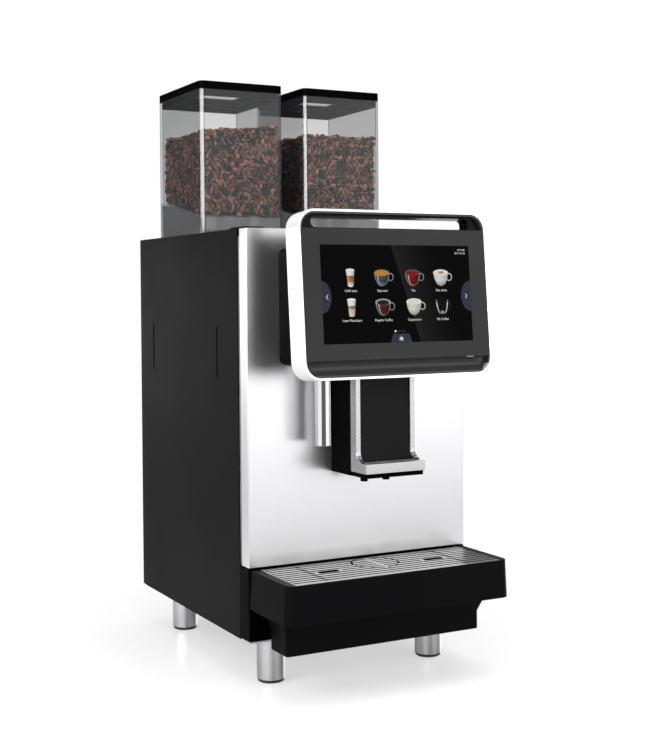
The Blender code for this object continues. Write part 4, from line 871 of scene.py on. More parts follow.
points, faces, colours = [], [], []
strip_down, strip_across = 24, 48
for v_step in range(strip_down + 1):
    v = v_step / strip_down
    edge = SHEEN_EDGE + SHEEN_SLANT * v
    across_left = [0, edge]
    across_right = [edge + (1 - edge) * k / strip_across for k in range(strip_across + 1)]
    for k, u in enumerate(across_left + across_right):
        points.append(shown(u, v))
        colours.append(sheen(u if k < 2 else max(u, edge + 1e-5), v))
width = 2 + strip_across + 1
for v_step in range(strip_down):
    for k in [0, *range(2, width - 1)]:
        a = v_step * width + k
        faces.append((a, a + width, a + width + 1, a + 1))
painted_piece("wallpaper", points, faces, colours, 1)


def stops(t, table):
    """Colours along a line, from (place, colour) stops."""
    places = [place for place, colour in table]
    return np.stack(
        [np.interp(t, places, [colour[k] for place, colour in table]) for k in range(3)], axis=-1
    )


def oval(x, z, centre, radii):
    return ((x - centre[0]) / radii[0]) ** 2 + ((z - centre[1]) / radii[1]) ** 2


def lay(image, mask, colour, share=1.0):
    """Paints a colour on the cells of a mask."""
    paint, covered = image
    amount = np.clip(mask * share, 0, 1)[..., None]
    paint[:] = paint * (1 - amount) + np.asarray(colour) * amount
    covered |= mask > 0


def round_shade(across, base=0.62):
    """Light on an upright round body, brightest left of its middle."""
    return base + (1 - base) * np.clip(1 - np.abs(across + 0.25) ** 1.6, 0, 1)


def tall_glass(image, x, z, table):
    """A tall tapered glass, its layers given as stops from its rim to its foot."""
    top, foot, rim, base = 0.0100, -0.0110, 0.0066, 0.0043
    t = np.clip((top - z) / (top - foot), 0, 1)
    half = rim + (base - rim) * t ** 0.8
    across = x / half
    body = (np.abs(across) < 1) & (z < top) & (z > foot - 0.0012 * (1 - np.clip(across, -1, 1) ** 2))
    tone = stops(t, table) * round_shade(across)[..., None]
    lay(image, body.astype(float), tone)
    lay(image, (body & (np.abs(across) > 0.88)).astype(float), (0.32, 0.31, 0.31), 0.55)
    lay(image, (body & (np.abs(across + 0.55) < 0.10) & (t > 0.35)).astype(float), (0.9, 0.9, 0.9), 0.35)
    lay(image, (oval(x, z, (0, top), (rim, 0.0019)) < 1).astype(float), table[0][1])
    edge = oval(x, z, (0, top), (rim, 0.0019))
    lay(image, ((edge < 1) & (edge > 0.74)).astype(float), (0.55, 0.55, 0.56), 0.7)


def cup(image, x, z, table, rim_colour, drink, spot=None, handle=(0.5, 0.5, 0.52), glassy=False, full=0.86):
    """A round cup with a handle: body stops from rim to foot, the drink's colours from middle to edge, and a
    spot on it."""
    top, foot, rim, base, tall = 0.0068, -0.0105, 0.0116, 0.0030, 0.0042
    grip = (rim + 0.0012, 0.0008)
    ring_out, ring_in = oval(x, z, grip, (0.0050, 0.0056)), oval(x, z, grip, (0.0034, 0.0039))
    light = 0.7 + 0.3 * np.clip((z + 0.004) / 0.008, -1, 1)
    share = 0.55 if glassy else 1.0
    lay(
        image, ((ring_out < 1) & (ring_in > 1) & (x > 0.004)).astype(float),
        np.array(handle) * light[..., None], share
    )
    t = np.clip((top - z) / (top - foot), 0, 1)
    half = base + (rim - base) * np.sqrt(np.clip(1 - t ** 1.5, 0, 1))
    across = x / half
    body = (np.abs(across) < 1) & (z < top) & (z > foot - 0.0010 * (1 - np.clip(across, -1, 1) ** 2))
    lay(image, body.astype(float), stops(t, table) * round_shade(across, 0.5 if glassy else 0.66)[..., None])
    if glassy:
        lay(image, (body & (np.abs(across) > 0.90)).astype(float), (0.36, 0.37, 0.39), 0.8)
        lay(image, (body & (np.abs(across + 0.60) < 0.07)).astype(float), (0.85, 0.85, 0.85), 0.5)
    mouth = oval(x, z, (0, top), (rim, tall))
    lay(image, (mouth < 1).astype(float), rim_colour)
    surface = oval(x, z, (0, top - (0.0010 if glassy else 0.0003)), (rim * full, tall * full))
    lay(image, (surface < 1).astype(float), stops(np.sqrt(np.clip(surface, 0, 1)), drink))
    if spot:
        lay(image, (oval(x, z, (0.0004, top), (0.0040, 0.0015)) < 1).astype(float), spot, 0.85)


def empty_cup(image, x, z):
    """The outline of an empty glass, drawn by the light on its rim, sides and foot."""
    top, foot, rim, base = 0.0085, -0.0105, 0.0098, 0.0026
    t = np.clip((top - z) / (top - foot), 0, 1)
    half = base + (rim - base) * np.sqrt(np.clip(1 - t ** 1.5, 0, 1))
    across = np.abs(x / half)
    inside = (across < 1) & (z < top) & (z > foot)
    lay(image, inside.astype(float), (0.004, 0.004, 0.004))
    lay(image, (inside & (across > 0.80)).astype(float), (0.62, 0.63, 0.65), 0.9)
    lay(image, (inside & (across > 0.80) & (t < 0.18)).astype(float), (0.12, 0.12, 0.12), 0.8)
    lay(
        image, (oval(x, z, (0, foot + 0.0026), (base + 0.0006, 0.0022)) < 1).astype(float),
        (0.30, 0.31, 0.32), 0.8
    )
    grip = (rim + 0.0004, 0.0012)
    ring_out, ring_in = oval(x, z, grip, (0.0044, 0.0052)), oval(x, z, grip, (0.0036, 0.0043))
    lay(image, ((ring_out < 1) & (ring_in > 1) & (x > rim - 0.001)).astype(float), (0.05, 0.05, 0.055))


FOAM = (0.78, 0.77, 0.76)
CREAM = (0.62, 0.50, 0.38)
CHINA = (0.66, 0.66, 0.68)
CAFFE_LATTE = (
    (0, FOAM), (0.33, FOAM), (0.38, (0.30, 0.11, 0.04)), (0.70, (0.42, 0.15, 0.04)), (0.82, CREAM), (1, FOAM)
)
MACCHIATO = (
    (0, FOAM), (0.36, FOAM), (
        0.42, (0.16, 0.07, 0.035)
    ), (0.54, (0.36, 0.22, 0.14)), (0.62, CREAM), (1, (0.6, 0.56, 0.5))
)
GLASS_FOOT = (
    (0, (0.05, 0.05, 0.06)), (0.45, (0.10, 0.07, 0.04)), (0.62, (0.03, 0.04, 0.07)), (1, (0.16, 0.18, 0.22))
)
TEA_BODY = (
    (0, (0.07, 0.03, 0.03)), (0.3, (0.17, 0.010, 0.008)), (0.85, (0.13, 0.007, 0.006)),
    (1, (0.34, 0.12, 0.08))
)
BLACK_COFFEE = (
    (0, (0.16, 0.14, 0.13)), (0.4, (0.055, 0.012, 0.010)), (0.9, (0.09, 0.015, 0.012)),
    (1, (0.25, 0.16, 0.14))
)
CHINA_BODY = ((0, (0.60, 0.60, 0.62)), (0.6, CHINA), (1, (0.30, 0.30, 0.32)))
CREAM_BODY = ((0, (0.60, 0.57, 0.52)), (0.6, (0.66, 0.63, 0.58)), (1, (0.34, 0.31, 0.28)))
ESPRESSO_TOP = ((0, (0.50, 0.26, 0.05)), (0.8, (0.42, 0.19, 0.025)), (1, (0.60, 0.38, 0.12)))
TEA_TOP = ((0, (0.15, 0.012, 0.010)), (1, (0.20, 0.02, 0.015)))
MILK_TOP = ((0, (0.72, 0.62, 0.50)), (1, (0.70, 0.66, 0.60)))
COFFEE_TOP = ((0, (0.016, 0.007, 0.006)), (1, (0.05, 0.018, 0.014)))
CAPPUCCINO_TOP = ((0, (0.74, 0.70, 0.64)), (0.8, (0.72, 0.62, 0.50)), (1, FOAM))
PICTURES = (
    (
        (tall_glass, (CAFFE_LATTE,), {}),
        (cup, (GLASS_FOOT, (0.16, 0.13, 0.08), ESPRESSO_TOP), {"glassy": True}),
        (cup, (TEA_BODY, (0.09, 0.07, 0.07), TEA_TOP), {"glassy": True, "full": 0.80}),
        (cup, (CHINA_BODY, FOAM, MILK_TOP), {"spot": (0.35, 0.12, 0.04), "handle": CHINA}),
    ),
    (
        (tall_glass, (MACCHIATO,), {}),
        (cup, (BLACK_COFFEE, (0.34, 0.34, 0.35), COFFEE_TOP), {"glassy": True, "full": 0.78}),
        (cup, (CREAM_BODY, FOAM, CAPPUCCINO_TOP), {"handle": (0.64, 0.60, 0.54)}),
        (empty_cup, (), {}),
    ),
)

points, faces, colours = [], [], []
reach_x, reach_z = 0.0185, 0.0125
across_cells, down_cells = int(2 * reach_x / CELL), int(2 * reach_z / CELL)
for row, pictures in enumerate(PICTURES):
    for column, (painter, drink, details) in enumerate(pictures):
        centre_x, centre_z = shown(COLUMNS[column], ROWS[row])
        grid_x, grid_z = np.meshgrid(
            (
                np.arange(across_cells + 1) - across_cells / 2
            ) * CELL, (np.arange(down_cells + 1) - down_cells / 2) * CELL
        )
        paint = np.zeros((*grid_x.shape, 3))
        covered = np.zeros(grid_x.shape, bool)
        painter((paint, covered), grid_x, grid_z, *drink, **details)
        number = -np.ones(grid_x.shape, int)
        keep = np.zeros(grid_x.shape, bool)
        cells = covered[:-1, :-1] & covered[1:, :-1] & covered[1:, 1:] & covered[:-1, 1:]
        for a, b in ((0, 0), (1, 0), (1, 1), (0, 1)):
            keep[a:a + cells.shape[0], b:b + cells.shape[1]] |= cells
        number[keep] = len(points) + np.arange(keep.sum())
        points += [(centre_x + x, centre_z + z) for x, z in zip(grid_x[keep], grid_z[keep])]
        colours += [tuple(colour) for colour in paint[keep]]
        for i, j in zip(*np.nonzero(cells)):
            faces.append((number[i, j], number[i, j + 1], number[i + 1, j + 1], number[i + 1, j]))
painted_piece("drink_pictures", points, [tuple(int(n) for n in face) for face in faces], colours, 2)

points, faces, colours = [], [], []


def flat(outline, colour):
    """Adds one plain shape to the display's signs."""
    faces.append(tuple(range(len(points), len(points) + len(outline))))
    points.extend(outline)
    colours.extend([colour] * len(outline))


def stroke(outline, width, colour):
    """Adds a line of even width through two or more points."""
    for (x0, z0), (x1, z1) in zip(outline, outline[1:]):
        length = math.hypot(x1 - x0, z1 - z0)
        nx, nz = -(z1 - z0) / length * width / 2, (x1 - x0) / length * width / 2
        flat([(x0 + nx, z0 + nz), (x0 - nx, z0 - nz), (x1 - nx, z1 - nz), (x1 + nx, z1 + nz)], colour)


TAB_REACH = {-1: 0.0135, 1: 0.0157}
TAB_HALF = 0.0206
for side in (-1, 1):
    edge_x, middle_z = side * SHOWN_WIDTH / 2, shown(0, ARROW_ROW)[1]
    turn = [math.radians(90 + 180 * k / 40) for k in range(41)]
    flat([
        (edge_x - side * TAB_REACH[side] * abs(math.cos(a)), middle_z + TAB_HALF * math.sin(a)) for a in turn
    ][::side],
         TAB_BLUE)
x, z = shown(HOME_COLUMN, 1.0)
flat([(x - 0.0165, z), (x + 0.0165, z), (
    x + 0.0125, z + 0.0105
), (x + 0.0108, z + 0.0118), (x - 0.0108, z + 0.0118),
      (x - 0.0125, z + 0.0105)], TAB_BLUE)
painted_piece("display_tabs", points, faces, colours, 2)

points, faces, colours = [], [], []
for side in (-1, 1):
    x, z = side * (SHOWN_WIDTH / 2 - 0.0075), shown(0, ARROW_ROW)[1]
    stroke(
        [(x - side * 0.0014, z + 0.0030), (x + side * 0.0014, z), (x - side * 0.0014, z - 0.0030)], 0.0008,
        WHITE
    )
for k in range(4):
    x, z = shown(0.467 + 0.0205 * k, 0.883)
    tone = WHITE if k == 0 else (0.10, 0.10, 0.11)
    flat(circle((x, z), 0.0014 if k == 0 else 0.0009, 20), tone)
x, z = shown(HOME_COLUMN, 0.957)
bowl = [(x - 0.0028, z + 0.0010), *arc((x, z + 0.0010), 0.0028, 180, 360, 14)]
flat(bowl, WHITE)
stroke([(x - 0.0034, z - 0.0024), (x + 0.0034, z - 0.0024)], 0.0006, WHITE)
stroke([(x - 0.0008, z + 0.0018), (x - 0.0008, z + 0.0030)], 0.0005, WHITE)
stroke([(x + 0.0008, z + 0.0018), (x + 0.0008, z + 0.0030)], 0.0005, WHITE)
painted_piece("display_signs", points, faces, colours, 3)

points, faces, colours = [], [], []


def word(text, u, v, size, tone=WHITE, align="CENTER"):
    """Adds a line of text, centred on a place or ending there."""
    line = bpy.data.curves.new("word", "FONT")
    line.body = text
    line.size = size
    line.align_x = align
    line.align_y = "CENTER"
    line.resolution_u = 3
    holder = set_out("word", line)
    bpy.context.view_layer.update()
    mesh = bpy.data.meshes.new_from_object(holder.evaluated_get(bpy.context.evaluated_depsgraph_get()))
    base_x, base_z = shown(u, v)
    first = len(points)
    points.extend((base_x + p.co.x, base_z + p.co.y) for p in mesh.vertices)
    faces.extend(tuple(first + n for n in f.vertices) for f in mesh.polygons)
    colours.extend([tone] * len(mesh.vertices))
    bpy.data.objects.remove(holder)
    bpy.data.curves.remove(line)
    bpy.data.meshes.remove(mesh)


for names, v in zip(DRINKS, WORD_ROWS):
    for name, u in zip(names, COLUMNS):
        word(name, u, v, WORD_SIZE)
word("10:14:20", CLOCK_END, 0.045, CLOCK_SIZE, align="RIGHT")
word("2017-10-18", CLOCK_END, 0.080, CLOCK_SIZE, align="RIGHT")
painted_piece("display_words", points, faces, colours, 3)

# ================================================================ hot-water pipe
# Bright chromed steel tube with a plain cut end, hanging through the floor of the screen mount.
# It pours hot water beside the coffee outlet. The outlet's guide bar behind it is bare cast alloy.
PIPE_LIP = 0.003
chrome = finish(
    "chrome", (
        0.62, 0.62, 0.63
    ), (0.68, 0.68, 0.69), (0.04, 0.08), 1.0, grain=500, patch=20, relief=0.000004, marks=0.06
)
radius = pipe_radius
profile = [
    (0, pipe_low.z + PIPE_LIP), (radius - PIPE_LIP, pipe_low.z + PIPE_LIP), (radius - PIPE_LIP, pipe_low.z),
    (radius, pipe_low.z), (radius, pipe_high.z), (0, pipe_high.z),
]
fitted(
    "water_pipe", soften(turned(profile, (*pipe_centre, 0)), 0.0006), chrome, "door", "chrome",
    "hot_water_pipe"
)
refinish("outlet_guide", cast_alloy)

# ================================================================ coffee outlet
# Black moulded body that slides on the door's upright bar. Two brushed aluminium rails run down its front
# and out into a ledge, with a glossy black cover between them that sweeps forward at its foot. Twin spouts
# hang below.
HEAD_WALL = 0.003
RAIL_WIDTH = 0.007
RAIL_DEPTH = 0.0146
LEDGE_HEIGHTS = (0.288, 0.301)
TRIM_BEND = 0.012
COVER_DEPTH = 0.0121
COVER_FLARE = 0.0067
COVER_SWEEP = 0.030
BASE_HALF = 0.0437
SPOUT_RADIUS = 0.005
SPOUT_BORE = 0.0035

trim_metal = finish(
    "brushed_trim", (
        0.52, 0.52, 0.53
    ), (0.64, 0.64, 0.65), (0.20, 0.30), 0.95, grain=1700, stretch=(1, 1, 0.2),
    patch=14, patch_share=0.4, relief=0.00001, marks=0.03,
)
low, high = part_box("outlet_shell")
trim_low, trim_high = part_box("outlet_trim")
guide_low, guide_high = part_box("outlet_guide")
spout_low, spout_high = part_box("spout_pair")
front = trim_high.y + GAP
web = guide_low.y - GAP
wall = HEAD_WALL
half = high.x
shell = join(
    block((-half, front, low.z), (half, high.y, high.z)),
    block((-BASE_HALF, low.y, low.z), (BASE_HALF, front + 0.005, LEDGE_HEIGHTS[0] - GAP)),
)
groove = guide_high.x + GAP
pocket = low.z + wall
shell = cut(
    shell,
    block((wall - half, front + wall, pocket), (half - wall, web - wall, high.z + PAST)),
    block((-groove, web, low.z - PAST), (groove, high.y + PAST, high.z + PAST)),
    block((groove + wall, web, pocket), (half - wall, high.y + PAST, high.z + PAST)),
    block((wall - half, web, pocket), (-groove - wall, high.y + PAST, high.z + PAST)),
)
spout_y = (spout_low.y + spout_high.y) / 2
spout_x = spout_high.x - 0.008
for x in (-spout_x, spout_x):
    shell = cut(shell, prism(circle((x, spout_y), SPOUT_RADIUS + GAP, 48), "Z", low.z - PAST, pocket + PAST))
fitted(
    "outlet_body", soften(shell, 0.0006, 2), black_plastic, "outlet_head", "black_plastic", "outlet_shell"
)

back, rail, nose = trim_high.y, trim_high.y - RAIL_DEPTH, trim_low.y
bottom, top = LEDGE_HEIGHTS
profile = [(back, bottom), (nose, bottom), (nose, top), (rail - TRIM_BEND, top)]
profile += arc((rail - TRIM_BEND, top + TRIM_BEND + 0.002), TRIM_BEND, 0, -90, 14)[::-1][1:]
profile += [(rail, trim_high.z), (back, trim_high.z)]
trim = prism(profile, "X", -half, half)
x = half - RAIL_WIDTH
well = back - COVER_DEPTH - COVER_FLARE
over = top + GAP / 2
trim = cut(trim, prism([
    (well, bottom - PAST), (back + PAST, bottom - PAST), (back + PAST, trim_high.z + PAST),
    (nose - PAST, trim_high.z + PAST), (nose - PAST, over), (well, over),
], "X", -x, x))
fitted("outlet_rails", soften(trim, 0.0007), trim_metal, "outlet_head", "band_silver", "outlet_trim")

cover_low, cover_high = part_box("outlet_front_cover")
face = back - COVER_DEPTH
toe = cover_low.y
profile = [(back, cover_low.z)]
for degrees in range(0, 91, 6):
    a = math.radians(degrees)
    profile.append((toe + (face - toe) * math.sin(a), cover_low.z + COVER_SWEEP * (1 - math.cos(a))))
profile += [(face, cover_high.z), (back, cover_high.z)]
cover = prism(profile, "X", cover_low.x, cover_high.x)
fitted(
    "outlet_cover", soften(cover, 0.0003, 2), gloss_black, "outlet_head", "gloss_black", "outlet_front_cover"
)

seat = pocket + GAP
pair = block((spout_low.x, spout_low.y, seat), (spout_high.x, spout_high.y, spout_high.z))
for x in (-spout_x, spout_x):
    pair = join(pair, prism(circle((x, spout_y), SPOUT_RADIUS, 48), "Z", spout_low.z, seat + 0.003))
    pair = cut(
        pair, prism(circle((x, spout_y), SPOUT_BORE, 32), "Z", spout_low.z - PAST, spout_low.z + 0.003)
    )
fitted("spouts", soften(pair, 0.0004, 2), black_plastic, "outlet_head", "black_plastic", "spout_pair")


# ================================================================ drip tray
# Black moulded tray with softly rounded front corners, a deeper sump below it and a ledge that the grids
# lie on.
TRAY_CORNER = 0.014
TRAY_LEAN = 0.0018
TRAY_WALL = 0.003
TRAY_EDGE = 0.0012
FLARE_TOP = 0.108
FLARE_FOOT = 0.082
SUMP_HALF = 0.148
SUMP_FLARE = 0.009
SUMP_CORNER = 0.004
SUMP_DEPTHS = (
    0.048, 0.034, 0.095
)  # behind the tray's front: the sump's front, its flared front and its rear
GRID_THICK = 0.002
GRID_LEDGE = 0.005

low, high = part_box("drip_tray")
grid_low, grid_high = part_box("drip_grid_left")[0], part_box("drip_grid_right")[1]
corner = (TRAY_CORNER, TRAY_CORNER, 0, 0)
foot_line = rounded((low.x, low.y), (high.x, high.y), corner, 16)
top_line = rounded((low.x + TRAY_LEAN, low.y + TRAY_LEAN / 2), (high.x - TRAY_LEAN, high.y), corner, 16)
tray = loft([(*p, FLARE_TOP) for p in foot_line], [(*p, high.z) for p in top_line])
tray = soften(tray, TRAY_EDGE, 3, 60)
sump_front, flared_front, sump_rear = (low.y + depth for depth in SUMP_DEPTHS)
wide_half = SUMP_HALF + SUMP_FLARE
small = rounded((-SUMP_HALF, sump_front), (SUMP_HALF, sump_rear), (SUMP_CORNER, SUMP_CORNER, 0, 0), 8)
wide = rounded(
    (-wide_half, flared_front), (wide_half, sump_rear), (2 * SUMP_CORNER, 2 * SUMP_CORNER, 0, 0), 8
)
sump = loft(
    [(*p, low.z) for p in small], [(*p, FLARE_FOOT) for p in small], [(*p, FLARE_TOP) for p in wide],
    [(*p, FLARE_TOP + 0.001) for p in wide],
)
tray = join(tray, soften(sump, 0.0012, 3, 50))
seat = high.z - GRID_THICK - GAP
seat_x, seat_front, seat_rear = grid_high.x + GAP, grid_low.y - GAP, grid_high.y + GAP
wall = TRAY_WALL
tray = cut(
    tray,
    block((-seat_x, seat_front, seat), (seat_x, seat_rear, high.z + PAST)),
    block((GRID_LEDGE - seat_x, seat_front + GRID_LEDGE, FLARE_TOP + wall),
          (seat_x - GRID_LEDGE, seat_rear - GRID_LEDGE, seat + 0.001)),
    loft(*[
        [(*p, z) for p in rounded((-half, sump_front + wall - forward), (half, sump_rear - wall), 0)]
        for half, forward, z in (
            (SUMP_HALF - wall, 0, low.z + wall), (SUMP_HALF - wall, 0, FLARE_FOOT),
            (seat_x - GRID_LEDGE, SUMP_DEPTHS[0] - SUMP_DEPTHS[1], FLARE_TOP),
            (seat_x - GRID_LEDGE, SUMP_DEPTHS[0] - SUMP_DEPTHS[1], FLARE_TOP + wall + 0.001),
        )
    ]),
)
tray_plastic = finish(
    "tray_plastic", (0.0022, 0.0023, 0.0026), (0.0036, 0.0038, 0.0042), (0.30, 0.40), grain=1500, patch=5,
    patch_share=0.5, relief=0.00006, marks=0.06, plain=(("Specular IOR Level", 0.02),),
)
fitted("tray", tray, tray_plastic, "tray", "black_plastic", "drip_tray")

# ================================================================ drip grids
# Two stainless halves, punched with rows of slots so that narrow slats are left, with a finger slot in
# each. Rows of round holes cross the slats at the lands and the edges, and a slotted ring marks where the
# cup stands.
GRID_PITCH = 0.0105
GRID_SLOT = 0.0042
GRID_LAND = 0.004
GRID_MARGIN = 0.006
LAND_HOLE = 0.0040
EDGE_HOLE = 0.0030
RING_SLOT = 0.0030
FINGER_LENGTH = 0.031
FINGER_WIDTH = 0.012
CUP_RING = 0.032
CUP_RING_Y = -0.190
SLAT_EDGE = 0.0005
LAND_AT = 0.69
FINGER_AT = 0.523
FINGER_CORNER = 0.0029

grid_steel = finish(
    "grid_steel", (0.38, 0.38, 0.37), (0.52, 0.52, 0.51), (0.24, 0.36), 0.9, grain=900, stretch=(0.05, 1, 1),
    patch=20, patch_share=0.35, relief=0.000004, marks=0.05,
)
# Faces that don't face up, the cut edges of the slots, take a painted shade (0.018 grey) that stands for the
# shade in the gaps between the slats; faces that face up keep the steel's colour.
nodes, links = grid_steel.node_tree.nodes, grid_steel.node_tree.links
facing = nodes.new("ShaderNodeNewGeometry")
upward = nodes.new("ShaderNodeSeparateXYZ")
links.new(facing.outputs["True Normal"], upward.inputs[0])
base = nodes["Principled BSDF"].inputs["Base Color"]
unshaded_share = spread(nodes, links, upward.outputs["Z"], 0.3, 0.8)
links.new(blend(nodes, links, unshaded_share, (0.018, 0.018, 0.018), base.links[0].from_socket), base)
grid_half = grid_high.x
land_x, finger_x = LAND_AT * grid_half, FINGER_AT * grid_half
front, back, top = grid_low.y, grid_high.y, grid_high.z
rows = int((back - front - 0.010) / GRID_PITCH)
start = (front + back) / 2 - (rows - 1) * GRID_PITCH / 2
finger_row = rows // 2
for side_name, side in (("left", -1), ("right", 1)):
    near = GAP
    lows, highs = sorted((side * near, side * grid_half))
    plate = block((lows, front, top - GRID_THICK), (highs, back, top))
    cutters = []
    for row in range(rows):
        y = start + row * GRID_PITCH
        spans = [
            (near + GRID_MARGIN / 2, land_x - GRID_LAND / 2),
            (land_x + GRID_LAND / 2, grid_half - GRID_MARGIN / 2)
        ]
        if row == finger_row:
            gap = FINGER_LENGTH / 2 + 0.004
            spans = [(spans[0][0], finger_x - gap), (finger_x + gap, spans[0][1]), spans[1]]
        for a, b in spans:
            x0, x1 = sorted((side * a, side * b))
            slot = rounded((x0, y - GRID_SLOT / 2), (x1, y + GRID_SLOT / 2), GRID_SLOT * 0.3, 3)
            cutters.append(prism(slot, "Z", top - PAST, top + PAST))
    y, x = start + finger_row * GRID_PITCH, side * finger_x
    finger = rounded(
        (x - FINGER_LENGTH / 2, y - FINGER_WIDTH / 2), (x + FINGER_LENGTH / 2, y + FINGER_WIDTH / 2),
        FINGER_CORNER, 6
    )
    cutters.append(prism(finger, "Z", top - PAST, top + PAST))
    holes = []
    for x, radius in (
        (0, EDGE_HOLE), (side * land_x, LAND_HOLE), (side * (grid_half - EDGE_HOLE - 0.001), EDGE_HOLE)
    ):
        for row in range(rows):
            y = start + row * GRID_PITCH
            if x or abs(y - CUP_RING_Y) > CUP_RING:
                holes.append(prism(circle((x, y), radius, 12), "Z", top - PAST, top + PAST))
    arcs = []
    for turn in range(0, 360, 45):
        centre, start_angle, end_angle = (0, CUP_RING_Y), turn + 5, turn + 40
        outline = arc(centre, CUP_RING + RING_SLOT / 2, start_angle, end_angle, 14)
        outline += arc(centre, CUP_RING - RING_SLOT / 2, end_angle, start_angle, 14)
        arcs.append(prism(outline, "Z", top - PAST, top + PAST))
    plate = cut(plate, together(*cutters), together(*holes), together(*arcs))
    fitted(f"grid_{side_name}_slats", soften(
        plate, SLAT_EDGE, 2
    ), grid_steel, "grid_" + side_name, "grid_steel",
           f"drip_grid_{side_name}")

# ================================================================ bean hoppers and lids
# Injection-moulded bins in smoke-tinted clear plastic, with a sloping floor, a hollow foot and a throat
# into the grinder. Each has a black lid frame whose lip drops inside, with a clear window let into its
# top.
HOPPER_WALL = 0.003
HOPPER_CORNERS = (0.0085, 0.0085, 0.003, 0.003)  # at the front and the rear
FOOT_HELD = 0.50  # in the hollow foot, under the sloping floor
# The front corners are made more opaque by which way they face, so they mirror the cards more brightly and
# dim the beans behind: a stand-in for the bright band of light, and the dark band beside it, that a thick
# rounded corner shows.
CORNER_HELD = 0.50  # in the rounded front corners
HOPPER_FLOOR = 0.003
FLOOR_FRONT = 0.0251  # above the body's top
FLOOR_REAR = 0.0526
THROAT_RADIUS = 0.026
THROAT_BORE = 0.022
THROAT_BACK = 0.035
LID_HEIGHT = 0.011
LID_LIP_THICK = 0.002
LID_FRAME = 0.016
LID_WINDOW = 0.0025
LID_WINDOW_SEAT = 0.003

SMOKE_HELD = (0.13, 0.50)  # share of light that one face of a wall holds back, square on and at a glance
WINDOW_HELD = (0.06, 0.30)


def clear_plastic(name, held, darker=()):
    """Glossy see-through plastic in a faint smoke tint, which holds back more light at a glance. Each
    darker part is a direction, two distances or slants along it, and the share held back past the
    second."""
    material, nodes, links, shader = new_material(name)
    preset(shader, (("IOR", 1.7), ("Specular IOR Level", 1.0)))
    surface = grain_node(nodes, (("Patch Scale", 9),))
    tint = blend(nodes, links, surface.outputs["Patch"], (0.035, 0.037, 0.042), (0.055, 0.058, 0.064))
    links.new(tint, shader.inputs["Base Color"])
    links.new(spread(nodes, links, surface.outputs["Patch"], 0, 1, 0.03, 0.07), shader.inputs["Roughness"])
    slant = nodes.new("ShaderNodeLayerWeight")
    share = spread(nodes, links, slant.outputs["Facing"], 0.1, 0.9, *held)
    for direction, start, end, most in darker:
        along_it = nodes.new("ShaderNodeVectorMath")
        along_it.operation = "DOT_PRODUCT"
        along_it.inputs[1].default_value = direction
        if direction[2]:
            links.new(nodes.new("ShaderNodeTexCoord").outputs["Object"], along_it.inputs[0])
        else:
            links.new(nodes.new("ShaderNodeNewGeometry").outputs["Normal"], along_it.inputs[0])
        larger = nodes.new("ShaderNodeMath")
        larger.operation = "MAXIMUM"
        links.new(share, larger.inputs[0])
        links.new(spread(nodes, links, along_it.outputs["Value"], start, end, 0, most), larger.inputs[1])
        share = larger.outputs["Value"]
    links.new(share, shader.inputs["Alpha"])
    return material


hopper_low, hopper_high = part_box("hopper_left")
floor_rise = (FLOOR_REAR - FLOOR_FRONT) / (hopper_high.y - hopper_low.y - 2 * HOPPER_WALL)
floor_start = body_top + FLOOR_FRONT - floor_rise * (hopper_low.y + HOPPER_WALL)
smoked = clear_plastic("smoked_plastic", SMOKE_HELD, (
    ((0, -floor_rise, 1), floor_start, floor_start - 0.0005, FOOT_HELD),
    ((-0.707, -0.707, 0), 0.74, 0.94, CORNER_HELD),
    ((0.707, -0.707, 0), 0.74, 0.94, CORNER_HELD),
))
window_clear = clear_plastic("clear_window", WINDOW_HELD)


def floor_z(point, front, rear):
    """Top of the hopper's sloping floor at a point."""
    share = (point[1] - front - HOPPER_WALL) / (rear - front - 2 * HOPPER_WALL)
    return body_top + FLOOR_FRONT + share * (FLOOR_REAR - FLOOR_FRONT)


